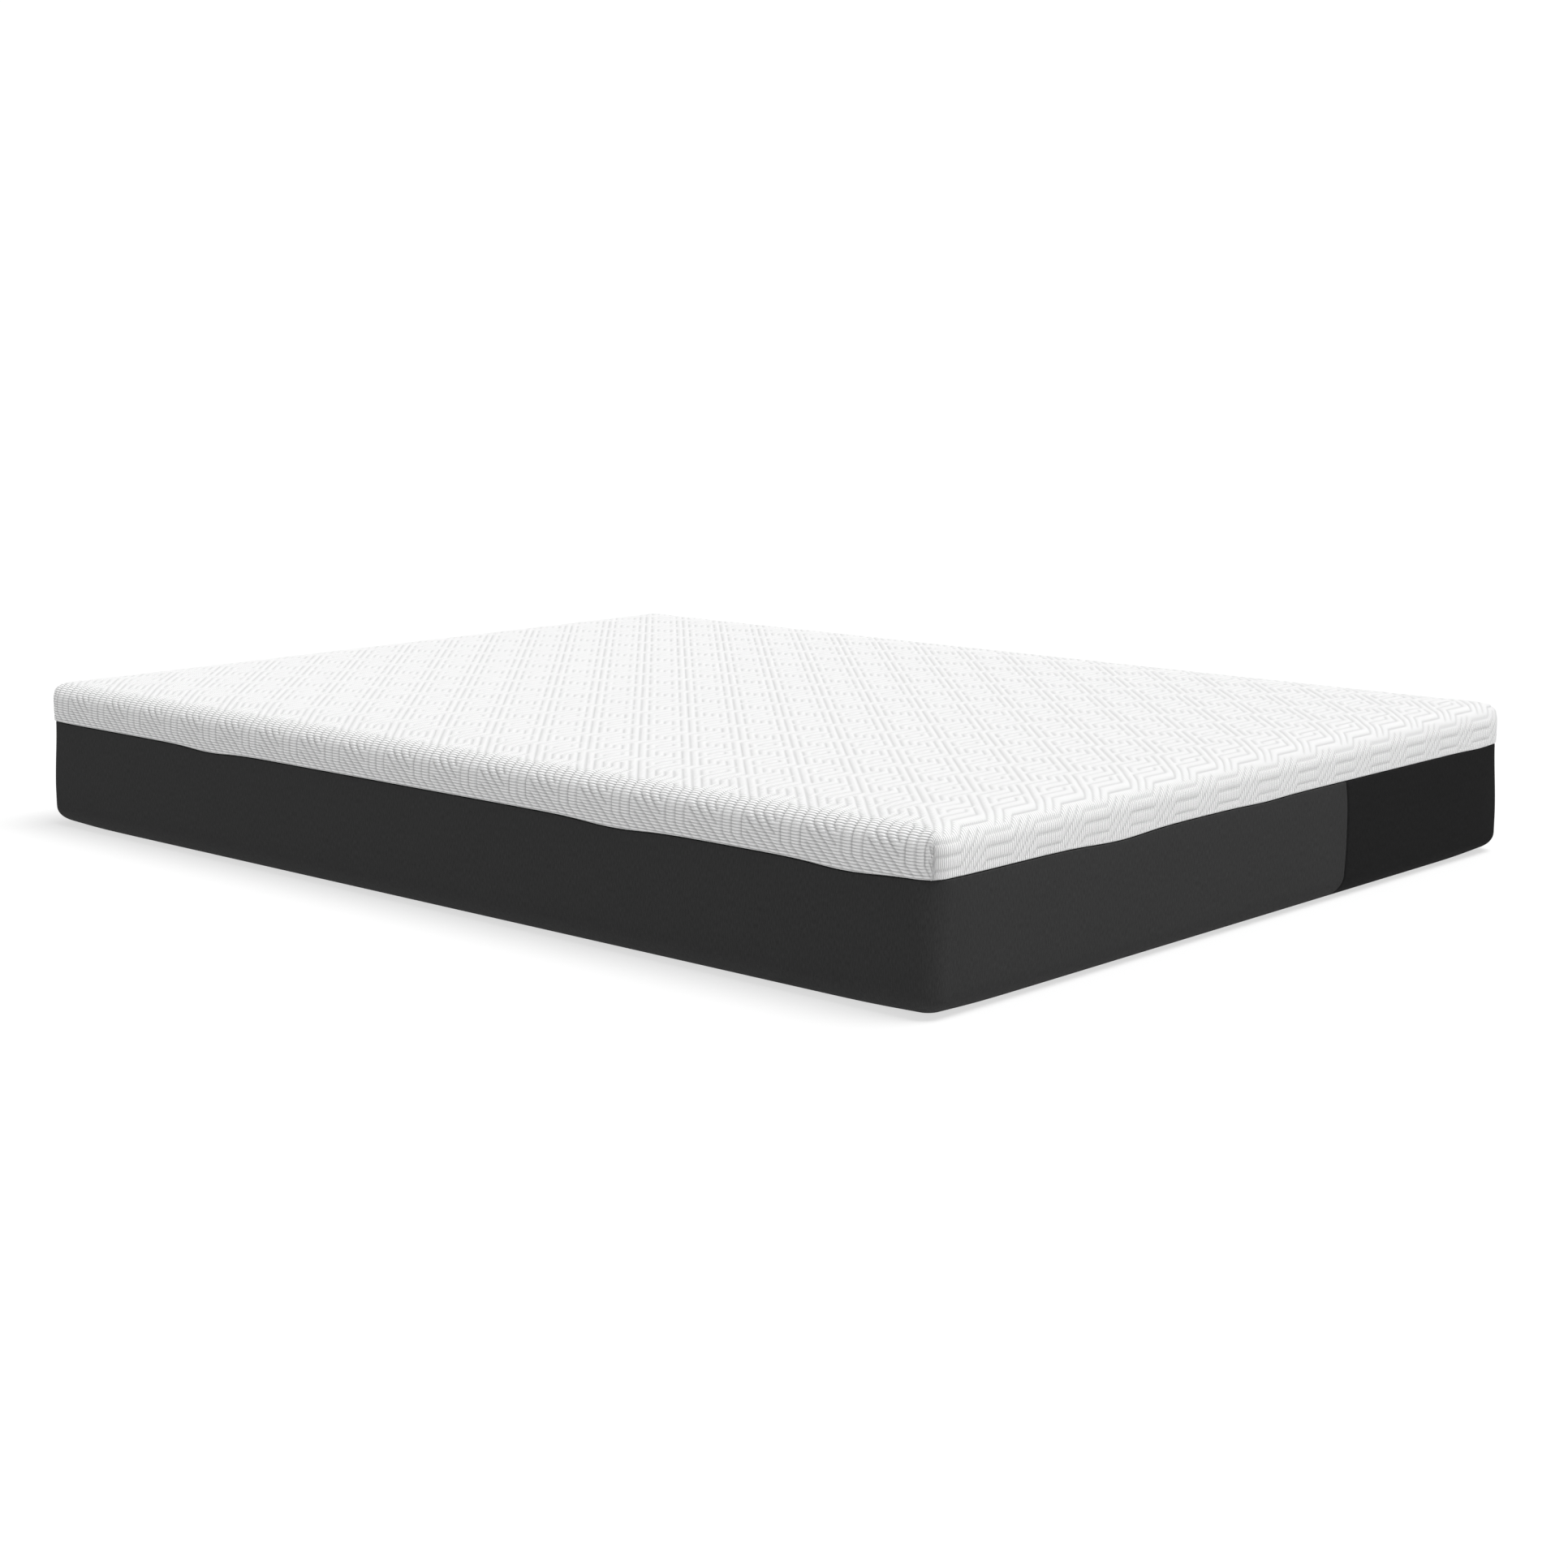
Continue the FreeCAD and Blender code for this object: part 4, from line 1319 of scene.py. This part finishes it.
    def joins(self, points: np.ndarray, facing: np.ndarray, along: np.ndarray, wardrobe: Wardrobe) -> None:
        """Lays a thin dark welt into each join between the panels.

        Args:
            points: the strip's finished vertex places.
            facing: its outward directions.
            along: its places along the outline.
            wardrobe: the finishes.
        """
        welts = []
        for join in (self.foot_join, self.side_join):
            column = int(np.argmin(np.abs(along - join)))
            line, out = points[:-3, column], facing[:-3, column]
            path, wanted = even_path(line, self.welt_points)
            path[:, 2] = np.maximum(path[:, 2], self.welt_radius)
            normal = np.broadcast_to(out[0], path.shape)
            bead = self.welt_bead * np.cos(wanted / self.welt_stitch * 2 * math.pi)
            ridge = self.welt_radius * (1.0 - self.welt_bead + bead)
            welts.append(tube_along("welt", path, normal, ridge, 8, False))
        welt = join_pieces("panel_join_welts", welts)
        wardrobe.dress(welt, "dark_seam")
        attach(welt, "mattress")
        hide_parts("panel_join_seams")

    def edge_cord(self, wardrobe: Wardrobe) -> None:
        """Runs a fine cord all round between the cap and the border."""
        along = np.arange(0.0, self.shape.perimeter, self.cord_step)
        x, y, nx, ny = self.shape.outline(along, self.shape.hem * self.cord_inset, self.shape.corner_high)
        path = np.stack([x, y, self.shape.seam_height(x, y)], axis=-1)
        cord = tube_along("cap_seam_cord", path, np.stack([nx, ny, 0 * nx], axis=-1),
                          np.full_like(along, self.cord_radius), 10, True)
        wardrobe.dress(cord, "dark_seam")
        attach(cord, "mattress")
        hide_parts("cap_border_seam")


# ---------------------------------------------------------------- underside, label and zip


@dataclass
class Underside:
    """The base cloth and the overlocked seam round it."""

    shape: CoverShape
    border: Border
    cells: tuple[int, int] = (116, 156)
    level: float = 1.1 * MM
    dimple: float = 0.35 * MM
    dimple_pitch: float = 26.5 * MM
    seam_level: float = 1.3 * MM
    seam_step: float = 4 * MM
    seam_radius: float = 0.95 * MM
    stitch: float = 8 * MM
    bead: float = 0.2

    def build(self, wardrobe: Wardrobe) -> None:
        """Makes the base cloth, lightly dimpled, and its seam.

        The cloth is a flat grid whose height is a product of two sines, so that it is
        gripped in small diamonds and touches the floor only at their tips.

        Args:
            wardrobe: the finishes.
        """
        low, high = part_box("bottom_panel")
        places = [np.linspace(low[k], high[k], self.cells[k]) for k in (0, 1)]
        x, y = np.meshgrid(*places, indexing="ij")
        waves = [np.sin(v / self.dimple_pitch * math.pi) for v in (x, y)]
        points = np.stack([x, y, self.level + self.dimple * waves[0] * waves[1]], axis=-1)
        ids = np.arange(x.size).reshape(x.shape)[:, ::-1]
        cloth = new_piece("base_cloth", points.reshape(-1, 3), quads_of(ids),
                          points[..., :2].reshape(-1, 2))
        wardrobe.dress(cloth, "base_cloth")
        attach(cloth, "mattress")
        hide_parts("bottom_panel")
        along = np.arange(0.0, self.shape.perimeter, self.seam_step)
        px, py, nx, ny = self.shape.outline(along, self.border.under, self.shape.corner_under)
        path = np.stack([px, py, np.full_like(px, self.seam_level)], axis=-1)
        rib = self.seam_radius * (1.0 - self.bead + self.bead * np.cos(along / self.stitch * 2 * math.pi))
        cord = tube_along("base_seam", path, np.stack([nx, ny, 0 * nx], axis=-1), rib, 8, True)
        wardrobe.dress(cord, "dark_seam")
        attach(cord, "mattress")
        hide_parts("bottom_seam")


@dataclass
class CareLabel:
    """A blank woven label, sewn along its top edge and curling a little away from the border."""

    curl: float = 3.5 * MM
    stand_off: float = 4.2 * MM
    thick: float = 0.5 * MM
    ripple: float = 0.5 * MM
    cells: tuple[int, int] = (14, 22)

    def build(self, wardrobe: Wardrobe) -> None:
        """Makes the label: a grid whose stand-off grows with the square of the drop, closed at the back.

        Args:
            wardrobe: the finishes.
        """
        low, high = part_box("care_label")
        u, v = np.meshgrid(*(np.linspace(0, 1, count) for count in self.cells), indexing="ij")
        x = high.x + (low.x - high.x) * u
        z = high.z + (low.z - high.z) * v
        y = high.y + self.stand_off + self.curl * v ** 2 + self.ripple * np.sin(2.2 * math.pi * u) * v
        front = np.stack([x, y, z], axis=-1)
        back = front - np.array([0.0, self.thick, 0.0])
        count = x.size
        ids = np.arange(count).reshape(x.shape)
        rim = np.concatenate([ids[:-1, 0], ids[-1, :-1], ids[:0:-1, -1], ids[0, :0:-1]])
        rim = np.append(rim, rim[0])
        edge = quads_of(np.stack([rim + count, rim]))
        faces = np.concatenate([quads_of(ids)[:, ::-1], quads_of(ids + count), edge])
        uv = np.stack([x, z], axis=-1).reshape(-1, 2)
        points = np.concatenate([front.reshape(-1, 3), back.reshape(-1, 3)])
        label = new_piece("care_label_cloth", points, faces, np.concatenate([uv, uv]))
        wardrobe.dress(label, "label_cloth")
        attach(label, "mattress")
        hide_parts("care_label")


@dataclass
class Zip:
    """The zip across the head end: tapes, nylon coils, end stops, slider and pull."""

    pitch: float = 2.0 * MM
    tooth: tuple[float, float, float] = (0.72 * MM, 1.15 * MM, 1.95 * MM)
    play: float = 0.05 * MM
    sides: int = 8
    rings: int = 6

    def build(self, wardrobe: Wardrobe, nodes: dict[str, bpy.types.Object]) -> None:
        """Makes the coils and dresses the zip's CAD parts.

        Each tooth is a rounded bead, a sphere whose three axes differ, and both rows
        are one bead repeated, the lower row half a pitch along.

        Args:
            wardrobe: the finishes.
            nodes: the CAD parts.
        """
        low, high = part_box("zip_coils")
        lift = np.linspace(-math.pi / 2, math.pi / 2, self.rings)
        turn = np.linspace(0, 2 * math.pi, self.sides, endpoint=False)
        lift, turn = np.meshgrid(np.clip(lift, -1.5, 1.5), turn, indexing="ij")
        squared = np.sign(np.sin(lift)) * np.abs(np.sin(lift)) ** 0.7
        bead = np.stack([np.cos(lift) * np.cos(turn), np.cos(lift) * np.sin(turn), squared], axis=-1)
        bead = bead.reshape(-1, 3) * np.array(self.tooth)
        ids = np.arange(self.rings * self.sides).reshape(self.rings, self.sides)
        ids = np.concatenate([ids, ids[:, :1]], axis=1)
        faces = quads_of(ids)[:, ::-1]
        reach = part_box("zip_tape_lower")[1].x - self.pitch
        run = np.arange(-reach, reach, self.pitch)
        middle_y = np.full_like(run, (low.y + high.y) / 2)
        depth = self.tooth[2] + self.play
        places = np.concatenate([
            np.stack([run + shift, middle_y, np.full_like(run, level)], axis=-1)
            for level, shift in ((low.z + depth, 0.0), (high.z - depth, self.pitch / 2))])
        points = (places[:, None, :] + bead[None, :, :]).reshape(-1, 3)
        offsets = np.arange(len(places)) * len(bead)
        teeth = new_piece("zip_coil_teeth", points, (offsets[:, None, None] + faces[None]).reshape(-1, 4))
        wardrobe.dress(teeth, "zip_coil")
        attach(teeth, "mattress")
        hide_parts("zip_coils")
        for name in ("zip_end_stops", "zip_slider", "zip_pull"):
            wardrobe.dress(nodes[name], "zip_metal")
        for name in ("zip_tape_upper", "zip_tape_lower"):
            wardrobe.dress(nodes[name], "zip_tape")


@dataclass
class Filling:
    """What the cover holds: fill, backing, padding, sock and foam, as the CAD made them."""

    def build(self, wardrobe: Wardrobe, nodes: dict[str, bpy.types.Object]) -> None:
        """Dresses the inner parts.

        Args:
            wardrobe: the finishes.
            nodes: the CAD parts.
        """
        for name, slot, fill in (("quilt_wadding", "wadding", 0.5), ("cover_padding", "padding", 0.8),
                                 ("memory_foam_layer", "memory_foam", 1.0),
                                 ("transition_foam_layer", "transition_foam", 1.0),
                                 ("support_foam_core", "support_foam", 1.0)):
            wardrobe.dress(nodes[name], slot)
        wardrobe.dress(nodes["fire_sock"], "sock_knit")
        wardrobe.dress(nodes["quilt_backing"], "backing")


# ---------------------------------------------------------------- stage


@dataclass
class Studio:
    """Floor, light and camera."""

    floor_half: float = 60.0
    floor_drop: float = 0.4 * MM
    floor_glow: float = 0.65
    sky: float = 0.4
    key_strength: float = 3.08
    key_angle: float = math.radians(36)
    key_from: tuple[float, float, float] = (0.2, -0.29, 1.0)
    camera_place: tuple[float, float, float] = (-3.3442, -3.1096, 0.9066)
    camera_aim: tuple[float, float, float] = (0.72782, 0.66276, -0.17562)
    lens: float = 61.165
    sensor: float = 36.0

    def build(self) -> None:
        """Sets up the studio."""
        self.make_camera()
        self.make_light()
        self.make_floor()
        bpy.context.scene.view_settings.view_transform = "Standard"

    def make_camera(self) -> None:
        """Places the camera."""
        data = bpy.data.cameras.new("camera")
        data.lens, data.sensor_width, data.clip_end = self.lens, self.sensor, 200.0
        camera = bpy.data.objects.new("camera", data)
        camera.location = self.camera_place
        camera.rotation_euler = Vector(self.camera_aim).to_track_quat("-Z", "Y").to_euler()
        bpy.context.scene.collection.objects.link(camera)
        bpy.context.scene.camera = camera

    def make_light(self) -> None:
        """A white surround, plain white to the camera, and one broad light from above."""
        world = bpy.data.worlds.new("surround")
        bpy.context.scene.world = world
        world.use_nodes = True
        sheet = NodeSheet(world.node_tree)
        background = world.node_tree.nodes["Background"]
        background.inputs["Color"].default_value = (1.0, 1.0, 1.0, 1.0)
        seen = sheet.add("ShaderNodeLightPath").outputs["Is Camera Ray"]
        strength = sheet.math("ADD", self.sky, sheet.math("MULTIPLY", seen, 1.05 - self.sky))
        sheet.put(background.inputs["Strength"], strength)
        data = bpy.data.lights.new("key", "SUN")
        data.energy, data.angle = self.key_strength, self.key_angle
        key = bpy.data.objects.new("key", data)
        key.rotation_euler = Vector(self.key_from).to_track_quat("Z", "Y").to_euler()
        bpy.context.scene.collection.objects.link(key)

    def make_floor(self) -> None:
        """A wide pale floor with a faint grain, lit a little from within so that shadows stay soft."""
        half = self.floor_half
        corners = np.array([[-half, -half, 0], [half, -half, 0], [half, half, 0], [-half, half, 0]], float)
        corners[:, 2] = -self.floor_drop
        floor = new_piece("floor", corners, np.array([[0, 1, 2, 3]]))
        material, sheet, shader = start_material("floor")
        place = sheet.add("ShaderNodeTexCoord").outputs["Object"]
        grain = sheet.add("ShaderNodeTexNoise", Vector=place, Scale=3.0, Detail=2.0)
        tone = Tone.FLOOR.value
        sheet.put(shader.inputs["Base Color"],
                  sheet.mix(grain.outputs["Fac"], (*tone, 1.0), (*(v * 0.995 for v in tone), 1.0)))
        shader.inputs["Roughness"].default_value = 0.9
        shader.inputs["Specular IOR Level"].default_value = 0.0
        shader.inputs["Emission Color"].default_value = (1.0, 1.0, 1.0, 1.0)
        shader.inputs["Emission Strength"].default_value = self.floor_glow
        floor.data.materials.append(material)
        floor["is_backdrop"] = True


def main() -> None:
    """Builds the mattress and its stage."""
    logging.basicConfig(level=logging.INFO, format="%(name)s: %(message)s")
    nodes = frame["nodes"]
    Studio().build()
    wardrobe = Wardrobe()
    shape, inflation = CoverShape(), Inflation()
    QuiltedCap(shape, QuiltPattern(), inflation).build(wardrobe)
    border = Border(shape, inflation)
    border.build(wardrobe)
    Underside(shape, border).build(wardrobe)
    CareLabel().build(wardrobe)
    Zip().build(wardrobe, nodes)
    Filling().build(wardrobe, nodes)
    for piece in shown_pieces():
        log.info("%s: %d faces", piece.name, len(piece.data.polygons))


if __name__ == "__main__":
    main()
